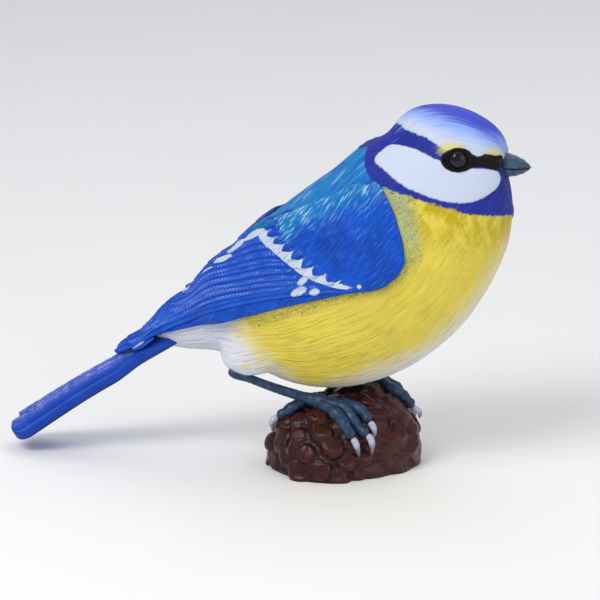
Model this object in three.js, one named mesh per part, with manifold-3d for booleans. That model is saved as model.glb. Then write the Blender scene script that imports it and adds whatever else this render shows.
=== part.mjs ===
// A painted blue tit figurine that crouches on a mound of dark lumps, in millimetres.
// +X is the way the bird faces, +Y its left side and +Z up. The origin lies on the mound's flat underside, near its
// middle.
import * as THREE from "three";
import { mergeVertices } from "three/addons/utils/BufferGeometryUtils.js";
import Module from "manifold-3d";

const wasm = await Module();
wasm.setup();

// Driving dimensions
const seam = 0.3; // air left between two pieces that touch
const rad = THREE.MathUtils.degToRad;
const v3 = (x, y, z) => new THREE.Vector3(x, y, z);

// Each mass of the body is an ellipsoid: its centre, half sizes along, across and upright,
// nose-up pitch, and how wide the fillet is where it melts into the masses before it.
const breast = { at: [11.3, 0, 48.5], half: [26, 17.5, 19.9], pitch: 40, fillet: 0 };
const belly = { at: [1.1, 0, 38.9], half: [27.2, 16.5, 20.9], pitch: 23, fillet: 6 };
const rump = { at: [-18.5, 0, 33.7], half: [23, 8, 7.7], pitch: 17, fillet: 8 };
const mantle = { at: [12.1, 0, 59.4], half: [10.9, 14, 11.2], pitch: 38, fillet: 5 };
const skull = { at: [22.8, 0, 69], half: [12.8, 10.4, 8.4], pitch: -19, fillet: 4 };
const throat = { at: [24.5, 0, 60.2], half: [9.5, 9.2, 10], pitch: 0, fillet: 4 };
const rightThigh = { at: [-18.8, -8, 25.2], half: [5.6, 3.4, 4.6], pitch: 4, fillet: 1.6 };
const leftThigh = { at: [-10, 9, 23], half: [5.6, 3.4, 4.6], pitch: 4, fillet: 1.6 };
const bodyMasses = [breast, belly, rump, mantle, skull, throat, rightThigh, leftThigh];

// What the folded wings add behind the back
const tertialBulk = { at: [-21.1, 0, 32.6], half: [8.6, 11, 10.4], pitch: 37, fillet: 5 };
const primaryBulk = { at: [-32.6, 0, 26.3], half: [16.4, 5, 2.3], pitch: 14.5, fillet: 3.6 };
const wingMasses = [...bodyMasses, tertialBulk, primaryBulk];

// The collar is parted from the head and from the torso by two planes: a point on each and its slope
const headPlane = { at: [24, 0, 64.4], pitch: -29 };
const torsoPlane = { at: [24, 0, 60.2], pitch: -29 };

const wingAxis = new THREE.QuadraticBezierCurve3(v3(12, 0, 47), v3(-22, 0, 36), v3(-49, 0, 22));
const wingLength = wingAxis.getLength();
const wingSheet = 1.4; // thickness of the free wing behind the body
const tail = { root: [-33, 0, 29.3], pitch: 31.6, length: 46, rootWidth: 8, tipWidth: 12.6, plate: 2.2 };

// Small maths

function distanceToMass(mass, x, y, z) {
  const c = Math.cos(rad(mass.pitch));
  const s = Math.sin(rad(mass.pitch));
  const dx = x - mass.at[0];
  const dz = z - mass.at[2];
  const [a, b, h] = mass.half;
  const along = (dx * c + dz * s) / a;
  const across = (y - mass.at[1]) / b;
  const upright = (dz * c - dx * s) / h;
  const size = Math.hypot(along, across, upright);
  const slope = Math.hypot(along / a, across / b, upright / h);
  return (size * (size - 1)) / Math.max(slope, 1e-9);
}

function melt(a, b, fillet) {
  const share = Math.min(1, Math.max(0, 0.5 + (0.5 * (b - a)) / fillet));
  return b * (1 - share) + a * share - fillet * share * (1 - share);
}

// Roughly the distance from a point to the surface of the masses melted together, negative inside
function fieldOf(masses) {
  return (p) =>
    masses.reduce((found, mass) => {
      const d = distanceToMass(mass, p.x, p.y, p.z);
      return found === null ? d : melt(found, d, mass.fillet);
    }, null);
}

// How far a ray from a point inside runs before it leaves the field
function reach(field, from, way, furthest = 70) {
  const step = 1.5;
  const p = v3(0, 0, 0);
  const at = (t) => field(p.copy(from).addScaledVector(way, t));
  let inside = 0;
  while (inside < furthest && at(inside + step) < 0) inside += step;
  let outside = inside + step;
  for (let i = 0; i < 24; i++) {
    const middle = (inside + outside) / 2;
    if (at(middle) < 0) inside = middle;
    else outside = middle;
  }
  return inside;
}

// A list of [place, value] pairs, read smoothly at any place
function eased(pairs, place) {
  if (place <= pairs[0][0]) return pairs[0][1];
  for (let i = 1; i < pairs.length; i++) {
    if (place > pairs[i][0]) continue;
    const t = (place - pairs[i - 1][0]) / (pairs[i][0] - pairs[i - 1][0]);
    return THREE.MathUtils.lerp(pairs[i - 1][1], pairs[i][1], t * t * (3 - 2 * t));
  }
  return pairs[pairs.length - 1][1];
}

// Surfaces and solids

function geometryOf(points, faces) {
  const geometry = new THREE.BufferGeometry();
  const numbers = new Float32Array(points.flatMap((p) => p.toArray()));
  geometry.setAttribute("position", new THREE.BufferAttribute(numbers, 3));
  geometry.setIndex(faces);
  return geometry;
}

// Closed rings of as many points each, joined into one closed surface with a point at each end
function skinOf(rings, startPoint, endPoint) {
  const n = rings[0].length;
  const points = [startPoint, ...rings.flat(), endPoint];
  const last = points.length - 1;
  const faces = [];
  for (let j = 0; j < n; j++) {
    const k = (j + 1) % n;
    faces.push(0, 1 + k, 1 + j);
    for (let i = 0; i + 1 < rings.length; i++) {
      const a = 1 + i * n;
      const b = a + n;
      faces.push(a + j, a + k, b + k, a + j, b + k, b + j);
    }
    faces.push(last, last - n + j, last - n + k);
  }
  return geometryOf(points, faces);
}

const middleOf = (ring) => ring.reduce((sum, p) => sum.add(p), v3(0, 0, 0)).divideScalar(ring.length);

// A loft whose ends are flat
const loftOf = (rings) => skinOf(rings, middleOf(rings[0]), middleOf(rings[rings.length - 1]));

function solidOf(geometry) {
  const bare = geometry.index ? geometry.toNonIndexed() : geometry.clone();
  bare.deleteAttribute("normal");
  bare.deleteAttribute("uv");
  const merged = mergeVertices(bare, 1e-4);
  const triVerts = new Uint32Array(merged.index.array);
  const vertProperties = merged.attributes.position.array;
  const build = () => new wasm.Manifold(new wasm.Mesh({ numProp: 3, vertProperties, triVerts }));
  const made = build();
  if (made.volume() > 0) return made;
  triVerts.reverse(); // turns each face round
  return build();
}

// The solid's largest closed surface, as a geometry without needless small faces
function largestOf(solid) {
  const bodies = solid.simplify(0.05).decompose();
  const mesh = bodies.reduce((best, next) => (next.volume() > best.volume() ? next : best)).getMesh();
  const geometry = new THREE.BufferGeometry();
  geometry.setAttribute("position", new THREE.BufferAttribute(new Float32Array(mesh.vertProperties), 3));
  geometry.setIndex(new THREE.BufferAttribute(new Uint32Array(mesh.triVerts), 1));
  return geometry;
}

// The same shape on the other side of the bird
function reflected(geometry) {
  const copy = geometry.clone().scale(1, -1, 1);
  copy.index.array.reverse();
  return copy;
}

const joined = (solids) => solids.reduce((sum, next) => sum.add(next));

// The half of a solid above a sloping plane, or below it, shifted by an offset along the plane's normal
function parted(solid, plane, offset, above) {
  const normal = v3(-Math.sin(rad(plane.pitch)), 0, Math.cos(rad(plane.pitch)));
  const height = normal.dot(v3(...plane.at)) + offset;
  const sign = above ? 1 : -1;
  return solid.trimByPlane([sign * normal.x, 0, sign * normal.z], sign * height);
}

// A field seen from a spine: rays fan out from its rear end, run square to it, and fan out again from its front end
function castFromSpine(field, rear, front, counts) {
  const axis = front.clone().sub(rear).normalize();
  const up = v3(-axis.z, 0, axis.x);
  const side = v3(0, 1, 0);
  const stations = [];
  for (let i = 1; i <= counts.rear; i++) stations.push([rear, Math.PI - (i / (counts.rear + 1)) * (Math.PI / 2)]);
  for (let i = 0; i <= counts.middle; i++) stations.push([rear.clone().lerp(front, i / counts.middle), Math.PI / 2]);
  for (let i = 1; i <= counts.front; i++) stations.push([front, (1 - i / (counts.front + 1)) * (Math.PI / 2)]);
  const rings = stations.map(([from, turn]) =>
    Array.from({ length: counts.around }, (_, j) => {
      const around = (j / counts.around) * 2 * Math.PI;
      const way = axis.clone().multiplyScalar(Math.cos(turn));
      way.addScaledVector(up, Math.sin(turn) * Math.cos(around));
      way.addScaledVector(side, Math.sin(turn) * Math.sin(around));
      return from.clone().addScaledVector(way, reach(field, from, way));
    }),
  );
  const behind = axis.clone().negate();
  const start = rear.clone().addScaledVector(behind, reach(field, rear, behind));
  const end = front.clone().addScaledVector(axis, reach(field, front, axis));
  return skinOf(rings, start, end);
}

// A round limb along a curve, whose radius is read from [share of the length, radius] pairs
function limbOf(points, radii, sides, steps, flatten = 1) {
  const curve = new THREE.CatmullRomCurve3(points);
  const frames = curve.computeFrenetFrames(steps, false);
  const rings = Array.from({ length: steps + 1 }, (_, i) => {
    const share = i / steps;
    const r = eased(radii, share);
    const centre = curve.getPointAt(share);
    return Array.from({ length: sides }, (_, j) => {
      const turn = (j / sides) * 2 * Math.PI;
      const out = frames.normals[i].clone().multiplyScalar(Math.cos(turn) * r * flatten);
      return centre.clone().add(out.addScaledVector(frames.binormals[i], Math.sin(turn) * r));
    });
  });
  return loftOf(rings);
}

// The body and the head

const bodyField = fieldOf(bodyMasses);
const wingField = fieldOf(wingMasses);
const rumpCore = v3(-31, 0, 29.5);
const breastCore = v3(13, 0, 47);
const headCore = v3(22.5, 0, 67.5);

function bodySolid(grown, counts) {
  return solidOf(castFromSpine((p) => bodyField(p) - grown, rumpCore, breastCore, counts));
}

function headSolid() {
  const counts = { rear: 8, middle: 1, front: 8, around: 36 };
  return solidOf(castFromSpine(bodyField, headCore, v3(23.5, 0, 67.6), counts));
}

// Where the head's skin lies, seen from the head's core: azimuth from the bill towards the right, and height
function onHead(azimuth, height) {
  const level = Math.cos(rad(height));
  const way = v3(level * Math.cos(rad(azimuth)), -level * Math.sin(rad(azimuth)), Math.sin(rad(height)));
  return headCore.clone().addScaledVector(way, reach(bodyField, headCore, way));
}

// Eyes: round beads sunk in the head
const eye = { azimuth: 74, height: 8, radius: 2, sunk: 0.75 };

function eyeSolid(side, grown) {
  const place = onHead(eye.azimuth, eye.height);
  const inward = headCore.clone().sub(place).normalize();
  place.addScaledVector(inward, eye.sunk);
  place.y *= side;
  const bead = new THREE.SphereGeometry(eye.radius + grown, 14, 9);
  bead.translate(place.x, place.y, place.z);
  return solidOf(bead);
}

// The bill: two half cones that meet at the line of the mouth
const bill = { base: [32, 0, 66.1], tip: [39, 0, 65.6], halfHeight: 2.35, halfWidth: 3.4, mouth: -0.3 };

function billSolid(grown) {
  const base = v3(...bill.base);
  const tip = v3(...bill.tip);
  const profile = [[0, 1], [0.3, 0.96], [0.52, 0.8], [0.74, 0.53], [0.91, 0.24]];
  const rings = profile.map(([share, size]) =>
    Array.from({ length: 14 }, (_, j) => {
      const turn = (j / 14) * 2 * Math.PI;
      const centre = base.clone().lerp(tip, share);
      const wide = (bill.halfWidth * size + grown) * Math.cos(turn);
      const high = (bill.halfHeight * size + grown) * Math.sin(turn);
      return v3(centre.x, wide, centre.z + high);
    }),
  );
  return solidOf(skinOf(rings, base.clone().addScaledVector(v3(1, 0, 0), -grown), tip));
}

const mouthPlane = { at: [bill.base[0], 0, bill.base[2] + bill.mouth], pitch: -3 };

// The tail: a plate that widens to its end, with the feathers laid over it in tiers

const tailWay = v3(-Math.cos(rad(tail.pitch)), 0, -Math.sin(rad(tail.pitch)));
const tailUp = v3(-Math.sin(rad(tail.pitch)), 0, Math.cos(rad(tail.pitch)));
const tailPoint = (along, across, up) =>
  v3(tail.root[0], across, tail.root[2]).addScaledVector(tailWay, along).addScaledVector(tailUp, up);
const tailHalf = (along) => THREE.MathUtils.lerp(tail.rootWidth, tail.tipWidth, along / tail.length) / 2;
const roundTip = (share) => Math.sqrt(Math.max(0, 1 - Math.max(0, (share - 0.9) / 0.1) ** 2));

// The tail is roofed: its sides droop more towards the end
const tailDroop = [[0, 0.2], [10, 0.7], [20, 2], [tail.length, 2.6]];

// A place over the tail: along it, across it as a share of its half width, and above its roof
function overTail(along, share, up) {
  const roof = -eased(tailDroop, along) * Math.abs(share) ** 1.6;
  return tailPoint(along, share * tailHalf(along), roof + up);
}

function tailPlate(grown, heap) {
  const stations = [0, 0.2, 0.45, 0.7, 0.88, 0.955, 0.985, 1];
  const shares = [-1, -0.75, -0.4, 0, 0.4, 0.75, 1];
  const rings = stations.map((share) => {
    const narrowed = 0.35 + 0.65 * roundTip(share);
    const along = share * tail.length + (share ? grown : -grown);
    const widened = (across) => across * narrowed + (Math.sign(across) * grown) / tailHalf(along);
    const place = (across, up) => overTail(along, widened(across), up);
    const top = shares.map((across) => place(across, grown + heap - (Math.abs(across) === 1 ? 0.35 : 0)));
    const bottom = shares.map((across) => place(across, -tail.plate - grown + (Math.abs(across) === 1 ? 0.4 : 0)));
    return [...top, ...bottom.reverse()];
  });
  return solidOf(loftOf(rings));
}

// The tail's feathers, from its middle outwards: how far their middle line is from the tail's, where they end,
// and how high they lie over the plate
const tailFeathers = [
  { across: 0, half: 1.7, end: 43.6, lift: 0.75 },
  { across: 1.9, half: 1.6, end: 44.6, lift: 0.55 },
  { across: 3.6, half: 1.5, end: 45.5, lift: 0.35 },
];

function tailVane({ across, half, end, lift }, side) {
  const stations = [0, 0.35, 0.7, 0.86, 0.94, 0.98];
  const start = 3;
  const rings = stations.map((share) => {
    const along = THREE.MathUtils.lerp(start, end, share);
    const wide = half * roundTip(share);
    const place = (offset, up) => {
      const narrowed = tailHalf(along) / (tail.tipWidth / 2);
      return overTail(along, (side * across * narrowed + offset * narrowed) / tailHalf(along), up);
    };
    const over = [place(-wide, lift - 0.3), place(0, lift), place(wide, lift - 0.3)];
    return [...over, place(wide * 0.8, -0.8), place(-wide * 0.8, -0.8)];
  });
  return solidOf(skinOf(rings, middleOf(rings[0]), overTail(end, (side * across) / tailHalf(end), lift - 0.5)));
}

function tailSolid() {
  const vanes = [1, -1].flatMap((side) => tailFeathers.map((feather) => tailVane(feather, side)));
  return joined([tailPlate(0, 0), ...vanes]);
}

// The wings, seen from an axis that runs from the bend of the wing to its tip.
// A place on a wing is how far it is along the axis, and its turn from straight above towards the side.

// [mm along, degrees]: where the upper and the lower edge of the wing run
const wingTop = [[-5, 62], [-4, 48], [0, 37], [10, 30], [18, 24], [24, 14], [30, 3], [wingLength, 3]];
const wingFoot = [
  [-5, 68], [-4.2, 84], [-2.8, 92], [0.3, 98], [10, 97], [24, 96],
  [35, 97], [44, 95], [52, 90], [58, 86], [wingLength, 84],
];
const wingCover = [[-5, 0.5], [6, 1.1], [40, 0.8], [wingLength, 0.5]];

function wingFrame(along) {
  const share = Math.min(1, Math.max(0, along / wingLength));
  const way = wingAxis.getTangentAt(share);
  const from = wingAxis.getPointAt(share);
  if (along < 0) from.addScaledVector(way, along);
  return { from, up: v3(way.z, 0, -way.x), way };
}

function wingReach(along, turn) {
  const { from, up } = wingFrame(along);
  const out = up.clone().multiplyScalar(Math.cos(rad(turn))).add(v3(0, -Math.sin(rad(turn)), 0));
  const body = bodyField(from) < 0 ? reach(bodyField, from, out) + seam : 0;
  const shell = reach(wingField, from, out) + eased(wingCover, along) * (0.45 + 0.55 * Math.min(1, turn / 50));
  const outer = Math.max(shell, body + 0.6);
  const inner = Math.max(body, outer - wingSheet, 0.25);
  return { from, out, inner, outer };
}

function wingPoint(along, turn, lift) {
  const { from, out, outer } = wingReach(along, turn);
  return from.clone().addScaledVector(out, outer + lift);
}

function wingShell() {
  const stations = [-4.7, -4, -2.8, -0.5, 3, 7, 11, 15, 19, 23, 27, 31, 35, 39, 43, 47, 51, 55, 59, 62];
  const across = 10;
  const rings = stations.map((along) => {
    const outer = [];
    const inner = [];
    for (let j = 0; j <= across; j++) {
      const turn = THREE.MathUtils.lerp(eased(wingTop, along), eased(wingFoot, along), j / across);
      const place = wingReach(along, turn);
      outer.push(place.from.clone().addScaledVector(place.out, place.outer));
      inner.push(place.from.clone().addScaledVector(place.out, place.inner));
    }
    return [...outer, ...inner.reverse()];
  });
  return solidOf(loftOf(rings));
}

// A feather on the wing, laid from one place to another like a shingle: its lower edge stands over the next feather
// and its upper edge is sunk under the one before.
function wingVane({ from, to, half, lift }) {
  const length = to[0] - from[0];
  const steps = Math.ceil(length / 6);
  const rounded = [1.9, 0.6].map((short) => length - short); // mm along, where the tip rounds off
  const straight = Array.from({ length: steps }, (_, i) => (i / steps) * (length - 3.2));
  const rings = [...straight, ...rounded].map((run, i) => {
    const share = run / length;
    const along = from[0] + run;
    const turn = THREE.MathUtils.lerp(from[1], to[1], share);
    const narrowing = [0.9, 0.5][i - steps] ?? 1;
    const degrees = THREE.MathUtils.radToDeg((half * narrowing) / wingReach(along, turn).outer);
    const raised = lift * Math.min(1, 0.35 + share);
    const place = (offset, up) => wingPoint(along, turn + offset * degrees, up);
    return [place(-1, -0.15), place(0, raised * 0.75), place(1, raised), place(0.3, -0.25)];
  });
  return solidOf(skinOf(rings, middleOf(rings[0]), wingPoint(to[0], to[1], lift * 0.5)));
}

// The wing's feathers as [mm along, degrees] of root and tip: long ones that end in steps along the back and at the
// wing's tip, then the coverts whose tips make the pale bar
const flightFeathers = [
  { from: [8, 92], to: [65.6, 64], half: 1.6, lift: 0.3 },
  { from: [10, 88], to: [62.6, 46], half: 1.7, lift: 0.35 },
  { from: [12, 84], to: [58.6, 38], half: 1.8, lift: 0.4 },
  { from: [13, 79], to: [54, 34], half: 1.8, lift: 0.42 },
  { from: [14, 74], to: [49.6, 28], half: 1.8, lift: 0.45 },
  { from: [14, 69], to: [46, 17], half: 1.8, lift: 0.5 },
  { from: [14.5, 63], to: [43, 13], half: 1.8, lift: 0.5 },
  { from: [15, 56], to: [40.3, 12], half: 1.8, lift: 0.55 },
  { from: [15.5, 48], to: [37, 9], half: 1.9, lift: 0.6 },
  { from: [16, 40], to: [32.6, 12], half: 2, lift: 0.65 },
  { from: [17, 30], to: [28.4, 18], half: 2.2, lift: 0.7 },
];
const barCoverts = [[24.5, 32], [23.4, 42], [21.8, 51], [20.2, 60], [18.6, 68], [16.8, 76], [14.4, 83], [11.6, 89]];

function wingSolid() {
  const covert = { half: 1.75, lift: 0.85 };
  const coverts = barCoverts.map(([along, turn]) => ({ ...covert, from: [along - 9, turn - 3], to: [along, turn] }));
  return joined([wingShell(), ...[...flightFeathers, ...coverts].map(wingVane)]);
}

// The mound: round lumps crowded over a boxy dome that is longer one way than the other, flat underneath

const dome = { half: [15.4, 12.2, 15.2], turn: 45, squareness: 2.9, slant: 0.12 };
const moundCore = v3(-0.3, 0, 0);
const lumps = moundLumps();

function domeReach(way) {
  const field = (p) => {
    const x = p.x - moundCore.x;
    const long = x * Math.cos(rad(dome.turn)) + p.y * Math.sin(rad(dome.turn));
    const short = p.y * Math.cos(rad(dome.turn)) - x * Math.sin(rad(dome.turn));
    const tall = dome.half[2] * (1 + (dome.slant * long) / dome.half[0]);
    const q = [long / dome.half[0], short / dome.half[1], p.z / tall];
    return q.reduce((sum, x) => sum + Math.abs(x) ** dome.squareness, 0) - 1;
  };
  return reach(field, moundCore, way, 40);
}

function moundLumps() {
  const golden = Math.PI * (3 - Math.sqrt(5));
  const count = 84;
  return Array.from({ length: count }, (_, i) => {
    const height = (i + 0.5) / count;
    const turn = i * golden;
    const wobble = Math.sin(i * 12.9898) * 0.5 + 0.5;
    const level = Math.sqrt(1 - height * height);
    const way = v3(level * Math.cos(turn), level * Math.sin(turn), height);
    const coarse = THREE.MathUtils.smoothstep(way.x + way.y * 0.4, 0, 0.8);
    const radius = THREE.MathUtils.lerp(2.5, 4.2, coarse) * (0.85 + 0.3 * wobble);
    const out = domeReach(way) - radius * (0.5 + 0.12 * wobble);
    return { centre: moundCore.clone().addScaledVector(way, out), radius };
  });
}

function moundReach(way) {
  let furthest = domeReach(way) * 0.96;
  for (const { centre, radius } of lumps) {
    const offset = centre.clone().sub(moundCore);
    const along = offset.dot(way);
    const inside = along * along - offset.lengthSq() + radius * radius;
    if (inside > 0) furthest = Math.max(furthest, along + Math.sqrt(inside));
  }
  return furthest;
}

function moundSolid(grown) {
  const rows = 16;
  const around = 42;
  const rings = Array.from({ length: rows }, (_, i) => {
    const height = rad((i / rows) * 90);
    return Array.from({ length: around }, (__, j) => {
      const turn = (j / around) * 2 * Math.PI;
      const way = v3(Math.cos(height) * Math.cos(turn), Math.cos(height) * Math.sin(turn), Math.sin(height));
      return moundCore.clone().addScaledVector(way, moundReach(way) + grown);
    });
  });
  const above = v3(0, 0, 1);
  const top = moundCore.clone().addScaledVector(above, moundReach(above) + grown);
  return solidOf(skinOf(rings, moundCore.clone(), top));
}

// Feet: the shank from heel to foot, four toes that grip the mound, and their claws

// The place on the mound's skin nearest a point, seen from the mound's core, lifted by some height
function gripped([x, y, z], lift) {
  const way = v3(x, y, z).sub(moundCore).normalize();
  return moundCore.clone().addScaledVector(way, moundReach(way) + lift);
}

const toe = { knuckle: 1.25, middle: 1.15, tip: 0.95, lift: 0.55 };
const rightFoot = {
  heel: [-21.8, -8.8, 21.2],
  palm: [-4, -6, 15],
  toes: {
    inner: { path: [[1.5, -8, 15], [5, -11, 13.5], [8.5, -12.8, 11.5]], claw: [10.3, -13.6, 7] },
    middle: { path: [[0, -9.5, 14], [2.6, -12.3, 12.2], [4.6, -13.6, 10.3]], claw: [6.8, -15, 6.6] },
    outer: { path: [[1.8, -6.6, 15.6], [5.6, -8.2, 15], [8.4, -9.9, 13.8]], claw: [10, -11.6, 10.6] },
    hind: { path: [[-7.4, -4.4, 14.8], [-10.2, -4.8, 13.4], [-12.8, -5, 10.6]], claw: [-14.2, -5.2, 8] },
  },
};
const leftFoot = {
  heel: [-11, 10.2, 20.2],
  palm: [6.6, 7, 16.5],
  toes: {
    inner: { path: [[10.2, 4.6, 16.6], [12.8, 4.8, 14.6], [14.6, 5, 11.8]], claw: [15.6, 5, 9] },
    middle: { path: [[10.8, 7.2, 16.6], [13.4, 8.2, 14.4], [14.6, 9, 11.6]], claw: [15.4, 9.6, 8.8] },
    outer: { path: [[9.6, 10, 16], [11.6, 12, 13.6], [12.4, 13.2, 11]], claw: [13, 14, 8] },
    hind: { path: [[3, 7.8, 15.6], [0.2, 8.6, 15], [-2.6, 9.4, 13.6]], claw: [-4.6, 10, 11.4] },
  },
};

function toePoints(path) {
  return path.map((place) => gripped(place, toe.lift));
}

function clawPoints(points, claw) {
  const tip = points[points.length - 1];
  const way = tip.clone().sub(points[points.length - 2]).normalize();
  const start = tip.clone().addScaledVector(way, seam + 0.05);
  const straight = start.clone().addScaledVector(way, 0.5);
  const end = gripped(claw, 0.35);
  const bend = straight.clone().lerp(end, 0.5).add(tip.clone().sub(moundCore).setLength(0.6));
  return [start, straight, bend, end];
}

function legSolid(foot, obstacles) {
  const palm = gripped(foot.palm, 0.9);
  const heel = v3(...foot.heel);
  const behind = heel.clone().add(v3(-1.1, 0, 0.2));
  const knee = heel.clone().lerp(palm, 0.5).add(v3(0, 0, -0.3));
  const ankle = heel.clone().add(v3(0.8, 0, -0.2));
  const shank = limbOf([behind, ankle, knee, palm], [[0, 0.9], [0.09, 1.2], [0.25, 0.85], [0.8, 0.9], [1, 1.4]], 10, 12);
  const pad = new THREE.SphereGeometry(1.9, 12, 8);
  pad.scale(1.3, 1, 0.75);
  pad.translate(palm.x, palm.y, palm.z - 0.1);
  const toes = Object.values(foot.toes).map(({ path }) => {
    const points = [palm.clone().add(v3(0, 0, -0.15)), ...toePoints(path)];
    const radii = [[0, toe.knuckle], [0.5, toe.middle], [0.9, toe.tip], [1, toe.tip - 0.1]];
    return solidOf(limbOf(points, radii, 8, 9));
  });
  return joined([solidOf(shank), solidOf(pad), ...toes]).subtract(joined(obstacles));
}

function clawSolid(points, obstacles) {
  return solidOf(limbOf(points, [[0, 0.82], [0.35, 0.76], [1, 0.22]], 8, 6)).subtract(joined(obstacles));
}

// The assembly

const figurine = new THREE.Group();
const paints = {
  blue: new THREE.MeshStandardMaterial({ color: 0x1c56c8, roughness: 0.42 }),
  violet: new THREE.MeshStandardMaterial({ color: 0x2c3fae, roughness: 0.45 }),
  yellow: new THREE.MeshStandardMaterial({ color: 0xe6cf3a, roughness: 0.5 }),
  white: new THREE.MeshStandardMaterial({ color: 0xdfe3ee, roughness: 0.5 }),
  slate: new THREE.MeshStandardMaterial({ color: 0x3c5068, roughness: 0.4 }),
  claw: new THREE.MeshStandardMaterial({ color: 0xd9dbe0, roughness: 0.35 }),
  black: new THREE.MeshStandardMaterial({ color: 0x0b0b12, roughness: 0.12 }),
  brown: new THREE.MeshStandardMaterial({ color: 0x3f1f1f, roughness: 0.35 }),
};

function addNode(name, solid, paint) {
  addShape(name, largestOf(solid), paint);
}

function addShape(name, geometry, paint) {
  const mesh = new THREE.Mesh(geometry, paint);
  mesh.name = name;
  figurine.add(mesh);
}

const torsoCounts = { rear: 4, middle: 10, front: 10, around: 36 };
const body = bodySolid(0, torsoCounts);
const bodyGrown = bodySolid(seam, torsoCounts);
const tailGrown = tailPlate(seam, tailFeathers[0].lift);
const billGrown = billSolid(seam);
const eyesGrown = [eyeSolid(1, seam), eyeSolid(-1, seam)];
const head = headSolid();

addNode("torso", parted(body, torsoPlane, -seam / 2, false).subtract(tailGrown), paints.yellow);
const collar = parted(parted(head, headPlane, -seam / 2, false), torsoPlane, seam / 2, true);
addNode("neck", collar.subtract(billGrown), paints.violet);
addNode("head", parted(head, headPlane, seam / 2, true).subtract(joined([billGrown, ...eyesGrown])), paints.white);
addNode("bill_upper", parted(billSolid(0), mouthPlane, seam / 2, true), paints.slate);
addNode("bill_lower", parted(billSolid(0), mouthPlane, -seam / 2, false), paints.slate);
addNode("eye_right", eyeSolid(1, 0), paints.black);
addNode("eye_left", eyeSolid(-1, 0), paints.black);
addNode("tail", tailSolid(), paints.blue);

const wingRight = wingSolid().subtract(joined([tailGrown, bodySolid(seam / 2, torsoCounts)]));
const wingShape = largestOf(wingRight.trimByPlane([0, -1, 0], seam / 2));
addShape("wing_right", wingShape, paints.blue);
addShape("wing_left", reflected(wingShape), paints.blue);

const mound = moundSolid(0);
const moundGrown = moundSolid(seam);
addNode("mound", mound.subtract(bodyGrown), paints.brown);

for (const [side, foot] of [["right", rightFoot], ["left", leftFoot]]) {
  addNode(`leg_${side}`, legSolid(foot, [moundGrown, bodyGrown]), paints.slate);
  for (const [name, { path, claw }] of Object.entries(foot.toes)) {
    addNode(`claw_${side}_${name}`, clawSolid(clawPoints(toePoints(path), claw), [moundGrown]), paints.claw);
  }
}

export default figurine;
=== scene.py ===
"""A painted blue tit figurine that crouches on a mound of dark lumps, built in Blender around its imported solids.

Lengths in the shape code are millimetres, because the bird is small, and each mesh is scaled to metres when it is
made. +X is the way the bird faces, +Y its left side and +Z up.
"""

import math

import bmesh
import bpy
import numpy as np
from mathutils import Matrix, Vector


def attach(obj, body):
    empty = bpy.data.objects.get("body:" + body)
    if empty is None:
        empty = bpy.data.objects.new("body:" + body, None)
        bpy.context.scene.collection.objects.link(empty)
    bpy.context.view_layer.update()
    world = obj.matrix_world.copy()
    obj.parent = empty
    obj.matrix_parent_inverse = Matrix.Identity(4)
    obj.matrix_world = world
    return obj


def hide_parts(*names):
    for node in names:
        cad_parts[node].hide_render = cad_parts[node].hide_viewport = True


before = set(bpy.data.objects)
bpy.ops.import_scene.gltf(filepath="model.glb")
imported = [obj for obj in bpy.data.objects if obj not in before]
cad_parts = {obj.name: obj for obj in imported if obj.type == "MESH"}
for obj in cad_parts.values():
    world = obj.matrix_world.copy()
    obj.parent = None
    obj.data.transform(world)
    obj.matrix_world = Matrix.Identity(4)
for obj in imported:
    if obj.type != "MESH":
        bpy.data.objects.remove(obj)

bl_info = {
    "name": "Blue tit figurine",
    "version": (1, 0, 0),
    "blender": (4, 5, 0),
    "location": "View3D > Sidebar > Blue tit",
    "description": "Builds a painted blue tit figurine on its mound",
    "category": "Object",
}

MM = 0.001
RIGHT, LEFT = -1, 1  # the sign of Y on each side of the bird


def srgb(red, green, blue):
    """A colour given from 0 to 255 a channel, as Blender's linear numbers."""
    shares = [channel / 255 for channel in (red, green, blue)]
    return tuple(s / 12.92 if s <= 0.04045 else ((s + 0.055) / 1.055) ** 2.4 for s in shares)


# The masses of the body: centre, half sizes along, across and upright, nose-up pitch in degrees, and how wide the
# fillet is where it melts into the masses before it.
BREAST = ((11.3, 0, 48.5), (26, 17.5, 19.9), 40, 0)
BELLY = ((1.1, 0, 38.9), (27.2, 16.5, 20.9), 23, 6)
RUMP = ((-18.5, 0, 33.7), (23, 8, 7.7), 17, 8)
MANTLE = ((12.1, 0, 59.4), (10.9, 14, 11.2), 38, 5)
SKULL = ((22.8, 0, 69), (12.8, 10.4, 8.4), -19, 4)
THROAT = ((24.5, 0, 60.2), (9.5, 9.2, 10), 0, 4)
RIGHT_THIGH = ((-18.8, -8, 25.2), (5.6, 3.4, 4.6), 4, 3)
LEFT_THIGH = ((-10, 9, 23), (5.6, 3.4, 4.6), 4, 1.6)
BODY_MASSES = (BREAST, BELLY, RUMP, MANTLE, SKULL, THROAT, RIGHT_THIGH, LEFT_THIGH)

# What the folded wings add behind the back
TERTIAL_BULK = ((-20.9, 0, 32.8), (7.8, 11, 10.4), 37, 5)
PRIMARY_BULK = ((-32.6, 0, 26.9), (16.4, 4.4, 2.9), 14.5, 5.2)
WING_MASSES = (*BODY_MASSES, TERTIAL_BULK, PRIMARY_BULK)

HEAD_CORE = (22.5, 0, 67.5)
SPINE = ((33, 0, 66), (22, 0, 67), (15, 0, 60), (8, 0, 48), (-6, 0, 39), (-30, 0, 30))
SPINE_BLEND = 6.0  # how widely the ways of the spine run into each other
FLOW_RADIUS = 15  # turns round the spine are read as lengths on this radius

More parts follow.
